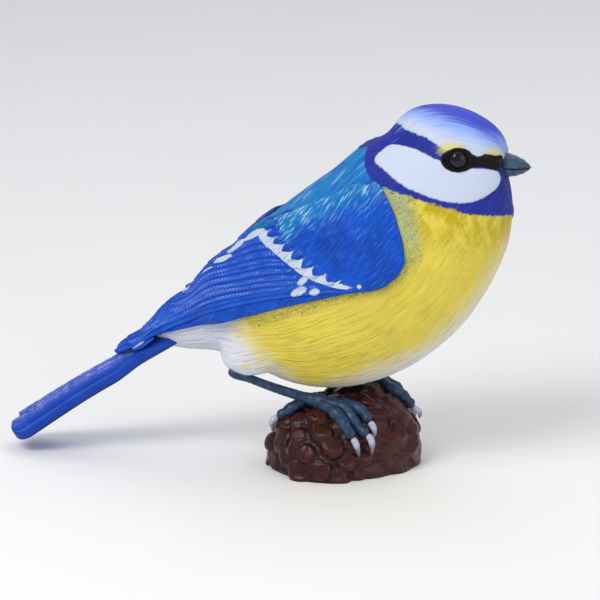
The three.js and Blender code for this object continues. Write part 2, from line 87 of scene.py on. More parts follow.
# Painted patches of the head, outlined as seen from its core: degrees from the bill round to the side, degrees up
CHEEK = (
    (148, 2), (152, 11), (146, 15), (129, 16), (117, 14), (101, 8), (93, 5), (89, -2), (77, -5), (59, -2),
    (35, -6), (27, -13), (31, -21), (49, -28), (67, -30), (83, -28), (96, -24), (113, -16), (125, -9), (136, -3),
)
CROWN = (
    (190, 38), (159, 33), (146, 31), (135, 31), (115, 29), (98, 22), (89, 17), (77, 16), (60, 9), (32, 2),
    (0, 1), (-40, 1), (-40, 130), (190, 130),
)
CAP = ((190, 50), (150, 53), (120, 54), (93, 51), (55, 41), (31, 27), (10, 16), (-40, 14), (-40, 130), (190, 130))
MASK = (
    (95, 8), (92, 14), (85, 18.5), (75, 20.5), (65, 18), (58, 12), (52, 10), (44, 11.5), (34, 8.5), (22, 6),
    (20, -6), (34, -6), (48, -1.5), (58, -1), (66, -4), (75, -6), (85, -4), (92, 1),
)
COLLAR = (
    (-40, -43), (10, -42), (45, -39), (67, -36), (87, -30), (103, -24), (116, -18), (125, -14), (140, -8),
    (152, -1), (166, 6), (190, 12), (190, 130), (-40, 130),
)

# Where the yellow of the belly ends, outlined from the side, in millimetres forward and up
YELLOW = (
    (40, 70), (37, 52), (32, 42), (27.5, 36), (22, 30.5), (15, 26), (7, 22.5), (0, 19), (-6, 16), (-9, 19),
    (-14, 23.5), (-18, 28), (-21, 33), (-20, 45), (0, 75),
)
WING_FRONT = ((12.3, 62.8), (14.1, 55.8), (15.4, 50.1), (14.7, 47), (12.5, 44), (9.4, 42.9), (3, 41.3), (-17, 33.5))
TUFT_SPOT = (-18.6, 23.4)  # a dab of yellow on the thigh
SMUDGE_SPOTS = ((84, 19.5), (34, 9.5))  # yellow over the eye and the bill, as seen from the head's core
NAPE_SPOT = (158, 26)
BACK_EDGE = 66  # the blue of the back ends this many degrees round the spine
FAR_OUTSIDE = 20  # as good as never inside an outline

# The wing, seen from an axis that runs from its bend to its tip. A place on it is millimetres along the axis and
# degrees from straight above towards the side.
WING_AXIS = ((12, 0, 47), (-22, 0, 36), (-49, 0, 22))
WING_SHEET = 1.4
SEAM = 0.3
WING_TOP = ((-5, 62), (-4, 48), (0, 37), (10, 30), (18, 24), (24, 14), (30, 3), (66, 3))
WING_FOOT = (
    (-5, 68), (-4.2, 84), (-2.8, 92), (0.3, 98), (10, 97), (24, 96), (35, 97), (44, 95), (52, 89), (58, 82),
    (62, 76), (66, 68),
)
# How far the wing stands over the masses of the body, by millimetres along its axis
WING_COVER = ((-5, 0.5), (6, 1.1), (40, 0.8), (66, 0.5))
WING_RADIUS = 14.5  # turns round the wing's axis are read as lengths on this radius

# Each long feather of the wing: root and tip, half width and how far its lower edge stands up, in millimetres
FLIGHT_FEATHERS = (
    ((55.5, 80), (61.8, 97), 1.0, 0.2),
    ((8, 92), (66, 60), 1.5, 0.3),
    ((10, 88), (62.6, 44), 1.6, 0.35),
    ((12, 84), (58.6, 36), 1.7, 0.4),
    ((13, 79), (54, 34), 1.8, 0.42),
    ((14, 74), (49.6, 28), 1.8, 0.45),
    ((14, 69), (46.5, 17), 1.8, 0.6),
    ((14.5, 63), (43, 13), 1.8, 0.65),
    ((15, 56), (40, 12), 1.8, 0.75),
    ((15.5, 48), (36.6, 10), 1.9, 0.85),
    ((16, 40), (32.4, 12), 2, 0.95),
    ((17, 30), (28, 18), 2.2, 1.0),
)
VANE_RISE = (3.2, 6.2)  # how far from its root a feather starts to come out of the wing, and is out
ROOT_SUNK, EDGE_SUNK, VANE_SHEET = 0.35, 0.15, 0.4
VANE_TIP = 2.6  # length at the end of a feather where its stations lie closer
DOMED_ABOVE = 19  # feathers that end nearer the top than this many degrees stand up all over
COVERT = (9, 3, 1.75, 0.34)  # a covert of the bar: length, rise in degrees, half width and lift
# The white bar: the tips of the coverts that carry it, and the teeth of its front edge
BAR_TIPS = ((24.5, 32), (23.4, 42), (21.8, 51), (20.2, 60), (18.6, 68), (16.8, 76), (14.4, 83), (11.6, 89))
BAR_TEETH = ((21.6, 34), (20.2, 43), (18.6, 51), (17.1, 58), (15.1, 66), (13.9, 73), (11.7, 80), (9.2, 87))
BAR_WIDTH, BAR_REAR = 1.35, 0.9
BAR_START, BAR_END = (23.2, 28), ((9.2, 93.5), (7.4, 93.5))
# White marks off the bar: millimetres along and degrees round, half length, half width, and how much they turn down
WHITE_MARKS = (
    (17.8, 81, 1.3, 0.6, 0.2), (19.2, 87, 1.9, 0.65, 0.1), (15.9, 90, 1.2, 0.6, 0), (6.4, 94, 0.5, 0.35, 0),
    (26.4, 27, 2.8, 0.85, -0.3), (31.4, 20, 2.6, 1.15, -0.4), (35, 24.5, 2.4, 1.1, -0.4),
    (39.2, 25, 1.7, 0.8, -0.4), (45.4, 20, 1.4, 0.5, -0.4), (59.4, 91, 1.9, 0.85, 0.68),
)
TEAL_PATCH = (24.6, 24.5, 3.4, 1.1, -0.12)  # a dab of teal over the upper end of the bar
WING_START, WING_END = -4.7, 62  # where the shell of the wing begins and ends along its axis
STROKE_SLANT = 24  # how far the strokes on the wing turn down from its axis, in degrees
BACK_ON_WING = 42  # the teal of the back ends this many degrees round the wing's axis

TAIL_ROOT = (-33, 0, 29.3)
TAIL_PITCH = 31.6
TAIL_LENGTH = 46
TAIL_WIDTHS = (8, 12.6)
TAIL_PLATE = 2.2
TAIL_ARCH = 0.75  # how far the middle of the tail stands over a straight line
TAIL_DROOP = ((0, 0.2), (10, 0.7), (20, 2), (46, 2.6))
TAIL_VANE_START = 3
# Each tail feather: how far out its middle line runs, half width, end, and height over the plate
TAIL_FEATHERS = ((0, 1.7, 43.6, 0.75), (1.9, 1.6, 44.6, 0.55), (3.6, 1.5, 45.5, 0.35))

BILL_BASE = (32, 0, 66.1)
BILL_TIP = (39, 0, 65.6)
BILL_HALF = (3.4, 2.35)
BILL_PROFILE = ((0, 1), (0.3, 0.98), (0.52, 0.86), (0.74, 0.62), (0.91, 0.32), (1, 0))
MOUTH_DROP, MOUTH_PITCH, MOUTH_GAP = 0.3, 3, 0.03  # how far the mouth lies under the bill's axis, and its slope
FACE_DENT = (1.9, 4)  # how deep the face sinks round the bill, and how widely

EYE_AZIMUTH, EYE_HEIGHT, EYE_RADIUS, EYE_SUNK = 75.5, 8, 2, 0.75
EYE_FLATTENED = 0.06
EYE_RING, EYE_RING_WIDTH, EYE_RING_HEIGHT = 2.35, 0.35, 0.35

MOUND_CORE = (-0.3, 0, 0)
DOME_HALF = (15.4, 12.2, 15.2)
DOME_TURN = 45
DOME_SQUARENESS = 2.9
DOME_SLANT = 0.12
LUMPS = 76
SMALL_LUMP, LARGE_LUMP = 2.7, 5.4
LUMP_LEAN = 0.5  # how far the flat face of a lump may lean
LUMP_CUT = 0.74  # share of a lump's radius at which its flat face lies
LUMP_SOFTENING = 0.15  # how far the gaps between the lumps are filled
LUMP_MELT = 0.13  # width over which neighbouring lumps run into each other
LUMP_ROUND = 0.5  # width over which a lump's flat face turns into its side

SCUTE_SPACING = 1.1
PALM_LIFT, TOE_LIFT, CLAW_LIFT = 0.9, 0.55, 0.35  # how far their middle lines lie over the mound
# How thick each limb is: share of its length, and radius. A toe swells at its joints.
SHANK_RADII = ((0, 0.9), (0.09, 1.2), (0.25, 0.9), (0.8, 1.05), (1, 1.6))
PAD_RADII = ((0, 1.2), (0.5, 1.7), (1, 1.2))
TOE_RADII = (
    (0, 1.45), (0.3, 1.196), (0.42, 1.43), (0.55, 1.196), (0.7, 1.352), (0.82, 1.026), (0.93, 1.1664), (1, 1.08),
)
CLAW_RADII = ((0, 0.74), (0.35, 0.72), (0.75, 0.45), (1, 0.16))
FEET = {
    "right": {
        "heel": (-21.8, -8.8, 21.2),
        "palm": (-4, -6, 15),
        "toes": {
            "inner": (((1.5, -8, 15), (5, -11, 13.5), (8.5, -12.8, 11.5)), (10.3, -13.6, 7)),
            "middle": (((0, -9.5, 14), (2.6, -12.3, 12.2), (4.6, -13.6, 10.3)), (6.8, -15, 6.6)),
            "outer": (((1.8, -6.6, 15.6), (5.6, -8.2, 15), (8.4, -9.9, 13.8)), (10, -11.6, 10.6)),
            "hind": (((-7.4, -4.4, 14.8), (-10.2, -4.8, 13.4), (-12.8, -5, 10.6)), (-14.2, -5.2, 8)),
        },
    },
    "left": {
        "heel": (-11, 10.2, 20.2),
        "palm": (6.6, 7, 16.5),
        "toes": {
            "inner": (((10.2, 4.6, 16.6), (12.8, 4.8, 14.6), (14.6, 5, 11.8)), (15.6, 5, 9)),
            "middle": (((10.8, 7.2, 16.6), (13.4, 8.2, 14.4), (14.6, 9, 11.6)), (15.4, 9.6, 8.8)),
            "outer": (((9.6, 10, 16), (11.6, 12, 13.6), (12.4, 13.2, 11)), (13, 14, 8)),
            "hind": (((3, 7.8, 15.6), (0.2, 8.6, 15), (-2.6, 9.4, 13.6)), (-4.6, 10, 11.4)),
        },
    },
}

CAMERA_TARGET = (-9.2, 0, 35.2)
FLOOR_HALF = 2500
# Each light: its place in metres, the setting for its power, its width in metres and its tint
LIGHTS = {
    "Key": ((-0.25, -0.45, 0.55), "key_power", 0.35, (1, 0.98, 0.95)),
    "Fill": ((0.6, -0.3, 0.3), "fill_power", 0.5, (0.95, 0.97, 1)),
    "Top": ((0.05, 0.35, 0.7), "fill_power", 0.6, (1, 1, 1)),
}
ROOM_TINT = (0.93, 0.95, 1, 1)
ROOM_LIGHT = 0.55


# What a user may change


def length(name, description, millimetres):
    """A length property whose default is given in millimetres."""
    return bpy.props.FloatProperty(
        name=name, description=description, default=millimetres * MM, unit="LENGTH", precision=5
    )


class BLUETIT_PG_carving(bpy.types.PropertyGroup):
    """Sizes of the carved detail."""

    voxel: length("Skin detail", "Spacing of the skin's points", 0.36)
    stroke_width: length("Stroke width", "Spacing of the carved strokes", 0.75)
    stroke_length: length("Stroke length", "Length of the carved strokes", 4.5)
    stroke_depth: length("Stroke depth", "Depth of the carved strokes", 0.12)
    barb_spacing: length("Barb spacing", "Spacing of the barbs on a vane", 0.9)
    barb_depth: length("Barb depth", "Depth of the barbs on a vane", 0.03)
    scute_spacing: length("Scute spacing", "Spacing of the folds on legs and toes", SCUTE_SPACING)
    lump_facet: length("Lump facet", "Size of the facets on the mound's lumps", 4.2)


def colour(name, description, *channels):
    """A colour property whose default is given in sRGB from 0 to 255."""
    return bpy.props.FloatVectorProperty(
        name=name, description=description, default=srgb(*channels), subtype="COLOR", size=3, min=0, max=1
    )


class BLUETIT_PG_paints(bpy.types.PropertyGroup):
    """Colours of the paint."""

    cobalt: colour("Cobalt", "Wing coverts", 4, 78, 192)
    flight: colour("Flight blue", "Long wing feathers", 30, 88, 204)
    teal: colour("Teal", "Back between the wings", 8, 120, 188)
    tail: colour("Tail blue", "Sides of the tail", 24, 76, 188)
    violet: colour("Violet", "Collar, bib and eye stripe", 30, 44, 142)
    cap: colour("Cap", "Crown of the head", 52, 62, 196)
    yellow: colour("Yellow", "Breast and belly", 222, 203, 78)
    olive: colour("Olive", "Upper breast", 190, 166, 22)
    moss: colour("Moss", "Speckled border in front of the wing", 138, 168, 136)
    white: colour("White", "Cheeks, wing bar and tips", 196, 206, 226)
    grey: colour("Pale grey", "Vent and lower belly", 214, 216, 228)
    black: colour("Black", "Mask and eyes", 6, 6, 12)
    slate: colour("Slate", "Bill", 62, 86, 112)
    leg: colour("Leg", "Legs and toes", 38, 66, 98)
    claw: colour("Claw", "Claws", 188, 188, 208)
    umber: colour("Umber", "Mound", 62, 20, 19)


class BLUETIT_PG_stage(bpy.types.PropertyGroup):
    """The floor, the lights and the camera."""

    azimuth: bpy.props.FloatProperty(
        name="Azimuth", description="Turn of the camera round the bird", default=math.radians(10), subtype="ANGLE"
    )
    elevation: bpy.props.FloatProperty(
        name="Elevation", description="Height of the camera", default=math.radians(15), subtype="ANGLE"
    )
    distance: bpy.props.FloatProperty(
        name="Distance", description="From the camera to the bird", default=0.7, unit="LENGTH"
    )
    lens: bpy.props.FloatProperty(name="Lens", description="Focal length in millimetres", default=200)
    key_power: bpy.props.FloatProperty(
        name="Key light", description="Power of the main light", default=2.9, unit="POWER"
    )
    fill_power: bpy.props.FloatProperty(
        name="Fill light", description="Power of the fill light", default=1.1, unit="POWER"
    )


# Small maths on arrays of points


def unit(vectors):
    """The vectors, each made one long."""
    return vectors / np.maximum(np.linalg.norm(vectors, axis=-1, keepdims=True), 1e-9)


def smooth(low, high, value):
    """0 below the low value and 1 above the high one, with a smooth step between them."""
    share = np.clip((value - low) / (high - low), 0, 1)
    return share * share * (3 - 2 * share)


def between(a, b, c, d, share):
    """A place on the smooth curve from b to c, where a and d are the points on either side of them."""
    bend = 2 * a - 5 * b + 4 * c - d
    return 0.5 * (2 * b + (c - a) * share + bend * share**2 + (3 * b - a - 3 * c + d) * share**3)


def eased(pairs, place):
    """A list of (place, value) pairs, read smoothly at any place."""
    places, values = np.array(pairs, float).T
    place = np.clip(place, places[0], places[-1])
    i = np.clip(np.searchsorted(places, place) - 1, 0, len(pairs) - 2)
    share = (place - places[i]) / (places[i + 1] - places[i])
    return values[i] + (values[i + 1] - values[i]) * share * share * (3 - 2 * share)


def traced(pairs, place):
    """A list of (place, value) pairs, read along a smooth curve through them."""
    places, values = np.array(pairs, float).T
    slopes = np.gradient(values, places)
    place = np.clip(place, places[0], places[-1])
    i = np.clip(np.searchsorted(places, place) - 1, 0, len(pairs) - 2)
    width = places[i + 1] - places[i]
    t = (place - places[i]) / width
    lead = (2 * t**3 - 3 * t**2 + 1) * values[i] + (t**3 - 2 * t**2 + t) * width * slopes[i]
    return lead + (3 * t**2 - 2 * t**3) * values[i + 1] + (t**3 - t**2) * width * slopes[i + 1]


def distance_to_mass(mass, points):
    """Roughly how far points lie outside a tilted ellipsoid."""
    at, half, pitch, _ = mass
    c, s = math.cos(math.radians(pitch)), math.sin(math.radians(pitch))
    x, y, z = np.moveaxis(points - np.array(at), -1, 0)
    scaled = np.stack([(x * c + z * s) / half[0], y / half[1], (z * c - x * s) / half[2]], -1)
    size = np.linalg.norm(scaled, axis=-1)
    slope = np.linalg.norm(scaled / np.array(half), axis=-1)
    return size * (size - 1) / np.maximum(slope, 1e-9)


def field(masses, points):
    """Roughly the distance to the surface of the masses melted together, negative inside."""
    found = None
    for mass in masses:
        distance = distance_to_mass(mass, points)
        if found is None:
            found = distance
            continue
        fillet = mass[3]
        share = np.clip(0.5 + 0.5 * (distance - found) / fillet, 0, 1)
        found = distance * (1 - share) + found * share - fillet * share * (1 - share)
    return found


def uphill(masses, points, step=0.05):
    """The way the field grows, which is square to its surface."""
    grown = [
        field(masses, points + step * axis) - field(masses, points - step * axis) for axis in np.eye(3)
    ]
    return np.stack(grown, -1) / (2 * step)


def settled(masses, points):
    """The points moved onto the surface of the masses."""
    for _ in range(6):
        slope = uphill(masses, points)
        steep = np.maximum((slope**2).sum(-1), 0.05)
        points = points - slope * np.clip(field(masses, points) / steep, -2, 2)[..., None]
    return points


def reach(distance, start, way, furthest=70.0, step=1.5):
    """How far rays from points inside run before they leave a surface."""
    inside = np.zeros(start.shape[:-1])
    running = np.ones(inside.shape, bool)
    for _ in range(int(furthest / step)):
        ahead = distance(start + way * (inside + step)[..., None]) < 0
        running &= ahead
        inside = np.where(running, inside + step, inside)
        if not running.any():
            break
    outside = inside + step
    for _ in range(22):
        middle = (inside + outside) / 2
        within = distance(start + way * middle[..., None]) < 0
        inside = np.where(within, middle, inside)
        outside = np.where(within, outside, middle)
    return inside


def rounded_outline(points, pieces=6):
    """A closed outline through the points, without their corners."""
    p = np.array(points, float)
    beside = np.roll(p, 1, 0), p, np.roll(p, -1, 0), np.roll(p, -2, 0)
    rows = [between(*beside, share) for share in np.arange(pieces) / pieces]
    return np.stack(rows, 1).reshape(-1, 2)


def inside_outline(outline, places):
    """The distance from each place to a closed outline, positive inside."""
    outline = np.array(outline, float)
    nearest = np.full(len(places), np.inf)
    within = np.zeros(len(places), bool)
    for start, end in zip(outline, np.roll(outline, -1, 0)):
        edge = end - start
        offset = places - start
        share = np.clip(offset @ edge / max(edge @ edge, 1e-12), 0, 1)
        nearest = np.minimum(nearest, np.linalg.norm(offset - share[:, None] * edge, axis=1))
        crosses = (start[1] > places[:, 1]) != (end[1] > places[:, 1])
        with np.errstate(divide="ignore", invalid="ignore"):
            at = edge[0] * (places[:, 1] - start[1]) / edge[1] + start[0]
        within ^= crosses & (places[:, 0] < at)
    return np.where(within, nearest, -nearest)


def along_path(path, places):
    """The distance from each place to an open path."""
    path = np.array(path, float)
    nearest = np.full(len(places), np.inf)
    for start, end in zip(path[:-1], path[1:]):
        edge = end - start
        share = np.clip((places - start) @ edge / (edge @ edge), 0, 1)
        nearest = np.minimum(nearest, np.linalg.norm(places - start - share[:, None] * edge, axis=1))
    return nearest


# Meshes


def mesh_piece(name, points, faces, values=None, smooth_shaded=True):
    """An object whose mesh has these points, in millimetres, these faces, and a named value at each point."""
    mesh = bpy.data.meshes.new(name)
    mesh.from_pydata((np.asarray(points) * MM).tolist(), [], faces)
    mesh.validate()
    for label, numbers in (values or {}).items():
        numbers = np.asarray(numbers, np.float32)
        if numbers.ndim == 1:
            mesh.attributes.new(label, "FLOAT", "POINT").data.foreach_set("value", numbers)
        else:
            mesh.attributes.new(label, "FLOAT_VECTOR", "POINT").data.foreach_set("vector", numbers.ravel())
    if smooth_shaded:
        mesh.shade_smooth()
    piece = bpy.data.objects.new(name, mesh)
    bpy.context.scene.collection.objects.link(piece)
    return piece


def ring_faces(stations, around, first=0):
    """The quads of closed rings laid one after the other, and a fan at each end to the two points after them."""
    i, j = np.meshgrid(np.arange(stations - 1), np.arange(around), indexing="ij")
    k = (j + 1) % around
    a, b = first + i * around, first + (i + 1) * around
    quads = np.stack([a + j, a + k, b + k, b + j], -1).reshape(-1, 4).tolist()
    last = first + (stations - 1) * around
    start, end = first + stations * around, first + stations * around + 1
    ring = range(around)
    quads += [[start, first + (j + 1) % around, first + j] for j in ring]
    quads += [[end, last + j, last + (j + 1) % around] for j in ring]
    return quads


def outward(piece):
    """Turns the faces of a closed piece so that they point out."""
    shape = bmesh.new()
    shape.from_mesh(piece.data)
    bmesh.ops.recalc_face_normals(shape, faces=shape.faces)
    shape.to_mesh(piece.data)
    shape.free()
    return piece


class Heap:
    """Closed skins of rings gathered into one mesh, with a value at each point."""

    def __init__(self):
        self.points = []
        self.faces = []
        self.values = {}
        self.count = 0

    def add(self, rings, start, end, **values):
        stations, around, _ = rings.shape
        self.faces += ring_faces(stations, around, self.count)
        self.points.append(np.concatenate([rings.reshape(-1, 3), [start], [end]]))
        for label, numbers in values.items():
            flat = numbers.reshape(stations * around, -1)
            ends = [numbers[0].reshape(around, -1).mean(0), numbers[-1].reshape(around, -1).mean(0)]
            self.values.setdefault(label, []).append(np.concatenate([flat, ends]))
        self.count += stations * around + 2

    def piece(self, name):
        values = {label: np.concatenate(parts) for label, parts in self.values.items()}
        values = {label: v[:, 0] if v.shape[1] == 1 else v for label, v in values.items()}
        return outward(mesh_piece(name, np.concatenate(self.points), self.faces, values))


def carved(piece, tree, material, **inputs):
    """The piece with a node tree's shape applied to its mesh, and the tree taken off again."""
    modifier = piece.modifiers.new(tree.name, "NODES")
    modifier.node_group = tree
    for item in tree.interface.items_tree:
        if item.item_type != "SOCKET" or item.in_out != "INPUT":
            continue
        if item.name in inputs:
            modifier[item.identifier] = inputs.pop(item.name)
        elif item.name == "Paint":
            modifier[item.identifier] = material
    if inputs:
        raise RuntimeError(f"{tree.name} has no inputs named {sorted(inputs)}")
    evaluated = piece.evaluated_get(bpy.context.evaluated_depsgraph_get())
    shaped = bpy.data.meshes.new_from_object(evaluated)
    old = piece.data
    piece.modifiers.remove(modifier)
    if piece.type == "MESH":
        piece.data = shaped
        made = piece
    else:
        made = bpy.data.objects.new(piece.name, shaped)
        bpy.context.scene.collection.objects.link(made)
        bpy.data.objects.remove(piece)
    if old.users == 0 and isinstance(old, bpy.types.Mesh):
        bpy.data.meshes.remove(old)
    if not made.data.polygons:
        raise RuntimeError(f"{made.name} came out empty")
    made.data.shade_smooth()
    return made


def finished(piece, slot, *nodes):
    """Parents a finished piece to the root empty and hides the imported parts it replaces."""
    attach(piece, "root")
    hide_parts(*nodes)


# Wiring of node trees

SHAPE, NUMBER, VECTOR = "NodeSocketGeometry", "NodeSocketFloat", "NodeSocketVector"


class Wiring:
    """Adds nodes to a tree and joins their sockets."""

    def __init__(self, tree):
        self.tree = tree

    def node(self, kind, inputs=None, **settings):
        made = self.tree.nodes.new(kind)
        for name, value in settings.items():
            setattr(made, name, value)
        for name, value in (inputs or {}).items():
            self.feed(made.inputs[name], value)
        return made

    def feed(self, socket, value):
        if isinstance(value, bpy.types.NodeSocket):
            self.tree.links.new(value, socket)
        else:
            socket.default_value = value

    def maths(self, operation, *values, clamp=False):
        return self.node("ShaderNodeMath", dict(enumerate(values)), operation=operation, use_clamp=clamp).outputs[0]

    def vector(self, operation, *values):
        return self.node("ShaderNodeVectorMath", dict(enumerate(values)), operation=operation).outputs[0]

    def both(self, first, second):
        return self.maths("MULTIPLY", first, second)

    def scaled(self, vector, scale):
        made = self.node("ShaderNodeVectorMath", {0: vector}, operation="SCALE")
        self.feed(made.inputs["Scale"], scale)
        return made.outputs[0]

    def ramp(self, value, low, high):
        """0 at the low value and 1 at the high one, whichever is larger, with a smooth step between them."""
        settings = {"Value": value, "From Min": low, "From Max": high}
        return self.node("ShaderNodeMapRange", settings, interpolation_type="SMOOTHSTEP").outputs[0]

    def mix(self, share, first, second, how="MIX"):
        made = self.node("ShaderNodeMix", data_type="RGBA", blend_type=how)
        self.feed(made.inputs[0], share)
        self.feed(made.inputs[6], self.paint(first))
        self.feed(made.inputs[7], self.paint(second))
        return made.outputs[2]

    def noise(self, vector, scale, detail=2.0, roughness=0.5):
        settings = {"Vector": vector, "Scale": scale, "Detail": detail, "Roughness": roughness}
        return self.node("ShaderNodeTexNoise", settings).outputs[0]

    def combine(self, x, y, z):
        return self.node("ShaderNodeCombineXYZ", {"X": x, "Y": y, "Z": z}).outputs[0]

    def separate(self, vector):
        return self.node("ShaderNodeSeparateXYZ", {"Vector": vector}).outputs

    def paint(self, colour):
        return colour if isinstance(colour, bpy.types.NodeSocket) else (*colour, 1.0)


def new_tree(name, kind, inputs, outputs):
    """A node tree with named sockets, its wiring, and its input and output nodes."""
    tree = bpy.data.node_groups.new(name, kind)
    for label, socket, default in inputs:
        made = tree.interface.new_socket(label, in_out="INPUT", socket_type=socket)
        if default is not None:
            made.default_value = default
    for label, socket in outputs:
        tree.interface.new_socket(label, in_out="OUTPUT", socket_type=socket)
    wiring = Wiring(tree)
    return tree, wiring, wiring.node("NodeGroupInput").outputs, wiring.node("NodeGroupOutput").inputs


def named_value(wiring, name, kind="FLOAT"):
    return wiring.node("GeometryNodeInputNamedAttribute", {"Name": name}, data_type=kind).outputs[0]


def new_shape_tree(name, *sizes):
    """A node tree that takes a shape, sizes and a paint, and gives a shape."""
    numbers = [(label, NUMBER, size) for label, size in sizes]
    inputs = (("Geometry", SHAPE, None), *numbers, ("Paint", "NodeSocketMaterial", None))
    return new_tree(name, "GeometryNodeTree", inputs, (("Geometry", SHAPE),))


def built(name, make):
    """The node tree of that name, made the first time it is asked for."""
    return bpy.data.node_groups.get(name) or make()


def lifted(wiring, geometry, lift):
    """The geometry with each point moved out along its normal."""
    offset = wiring.scaled(wiring.node("GeometryNodeInputNormal").outputs[0], lift)
    return wiring.node("GeometryNodeSetPosition", {"Geometry": geometry, "Offset": offset}).outputs[0]


def closing(wiring, geometry, given, ends):
    """Ends a shape tree: real faces, in the paint given."""
    real = wiring.node("GeometryNodeRealizeInstances", {"Geometry": geometry}).outputs[0]
    painted = wiring.node("GeometryNodeSetMaterial", {"Geometry": real, "Material": given["Paint"]}).outputs[0]
    wiring.feed(ends["Geometry"], painted)


def stroke_height(wiring, flow, width, length, seed):
    """Carved strokes along the flow, from 0 to 1: one noise drawn out along it, sharpened into grooves."""
    x, y, z = wiring.separate(flow)
    bent = wiring.noise(wiring.vector("ADD", flow, (37.0, 11.0, 5.0)), 0.09, 1.0)
    across = wiring.maths("ADD", y, wiring.maths("MULTIPLY", bent, 2.2))
    drawn = wiring.combine(
        wiring.maths("ADD", wiring.maths("DIVIDE", x, length), seed),
        wiring.maths("DIVIDE", across, width),
        wiring.maths("MULTIPLY", z, 0.08),
    )
    return wiring.noise(drawn, 1.0, 1.0, 0.4)


def vane_ridges(wiring, run, side, count):
    """Waves that run along a vane and drift a little from side to side, from -1 to 1."""
    drift = wiring.maths("MULTIPLY", wiring.noise(wiring.combine(run, side, 0.0), 0.15, 1.0), 4.0)
    return wiring.maths("SINE", wiring.maths("ADD", wiring.maths("MULTIPLY", side, count), drift))


def stroke_carving():
    """Shape tree: strokes carved along a piece's flow, and the raised rims of its painted patches."""
    tree, w, given, ends = new_shape_tree(
        "Carved strokes",
        ("Stroke width", 0.75 * MM),
        ("Stroke length", 4.5 * MM),
        ("Stroke depth", 0.12 * MM),
        ("Seed", 3.0),
    )
    flow = named_value(w, "flow", "FLOAT_VECTOR")
    width = w.maths("DIVIDE", given["Stroke width"], MM)
    length = w.maths("DIVIDE", given["Stroke length"], MM)
    height = w.maths("SUBTRACT", w.ramp(stroke_height(w, flow, width, length, given["Seed"]), 0.3, 0.6), 0.6)
    depth = w.both(given["Stroke depth"], named_value(w, "carve"))
    lift = w.maths("ADD", w.both(height, depth), w.maths("MULTIPLY", named_value(w, "raise"), MM))
    closing(w, lifted(w, given["Geometry"], lift), given, ends)
    return tree


def barb_carving():
    """Shape tree: ridges along each vane, a shaft down its middle, and low slanted barbs."""
    tree, w, given, ends = new_shape_tree(
        "Carved barbs",
        ("Barb spacing", 0.9 * MM),
        ("Barb depth", 0.03 * MM),
        ("Slant", 1.4),
        ("Ridge depth", 0.09 * MM),
        ("Ridges", 9.0),
        ("Shaft height", 0.1 * MM),
    )
    run, side, cover = w.separate(named_value(w, "vane", "FLOAT_VECTOR"))
    away = w.maths("ABSOLUTE", side)
    slanted = w.maths("SUBTRACT", run, w.both(away, given["Slant"]))
    wavy = w.maths("ADD", slanted, w.noise(w.combine(run, side, 0.0), 0.7, 1.0))
    turns = w.maths("DIVIDE", w.maths("MULTIPLY", wavy, math.tau * MM), given["Barb spacing"])
    barbs = w.both(w.maths("SINE", turns), given["Barb depth"])
    ridges = w.both(vane_ridges(w, run, side, given["Ridges"]), given["Ridge depth"])
    shaft = w.both(w.ramp(away, 0.16, 0.02), given["Shaft height"])
    lift = w.both(w.maths("ADD", w.maths("ADD", barbs, ridges), shaft), cover)
    closing(w, lifted(w, given["Geometry"], lift), given, ends)
    return tree


def limb_tree():
    """Shape tree: a round limb along a curve, as thick as the curve's radius, folded into scutes."""
    tree, w, given, ends = new_shape_tree(
        "Limb along a curve",
        ("Scute spacing", SCUTE_SPACING * MM),
        ("Scute depth", 0.1 * MM),
        ("Step", 0.12 * MM),
    )
    dense = w.node("GeometryNodeResampleCurve", {"Curve": given["Geometry"]}, mode="LENGTH")
    w.feed(dense.inputs["Length"], given["Step"])
    run = w.node("GeometryNodeSplineParameter").outputs["Length"]
    kept = w.node(
        "GeometryNodeStoreNamedAttribute",
        {"Geometry": dense.outputs[0], "Name": "run", "Value": run},
        data_type="FLOAT",
        domain="POINT",
    )
    turns = w.maths("DIVIDE", w.maths("MULTIPLY", run, math.tau), given["Scute spacing"])
    fold = w.maths("POWER", w.maths("ABSOLUTE", w.maths("SINE", w.maths("MULTIPLY", turns, 0.5))), 0.6)
    radius = w.node("GeometryNodeInputRadius").outputs[0]
    folded = w.maths("ADD", radius, w.both(w.maths("SUBTRACT", fold, 0.75), given["Scute depth"]))
    sized = w.node("GeometryNodeSetCurveRadius", {"Curve": kept.outputs[0], "Radius": folded}).outputs[0]
    ring = w.node("GeometryNodeCurvePrimitiveCircle", {"Resolution": 20, "Radius": 1.0}).outputs[0]
    thickness = w.node("GeometryNodeInputRadius").outputs[0]
    swept = w.node(
        "GeometryNodeCurveToMesh", {"Curve": sized, "Profile Curve": ring, "Fill Caps": True, "Scale": thickness}
    )
    closing(w, swept.outputs[0], given, ends)
    return tree


def lump_carving():
    """Shape tree: flat leaning facets, with creases between them, pressed into the mound's lumps."""
    tree, w, given, ends = new_shape_tree("Pressed lumps", ("Facet size", 4.2 * MM), ("Facet depth", 1.0 * MM))
    place = w.node("GeometryNodeInputPosition").outputs[0]
    scale = w.maths("DIVIDE", 1.0, given["Facet size"])
    cells = w.node("ShaderNodeTexVoronoi", {"Vector": place, "Scale": scale}).outputs
    from_centre = w.scaled(w.vector("SUBTRACT", place, cells["Position"]), scale)
    lean = w.vector("SUBTRACT", cells["Color"], (0.5, 0.5, 0.5))
    tilt = w.node("ShaderNodeVectorMath", {0: from_centre, 1: lean}, operation="DOT_PRODUCT").outputs["Value"]
    height = w.maths("SUBTRACT", tilt, w.maths("MULTIPLY", cells["Distance"], 0.35))
    lift = w.both(w.both(height, given["Facet depth"]), named_value(w, "cover"))
    closing(w, lifted(w, given["Geometry"], lift), given, ends)
    return tree


# Effects that several paints share


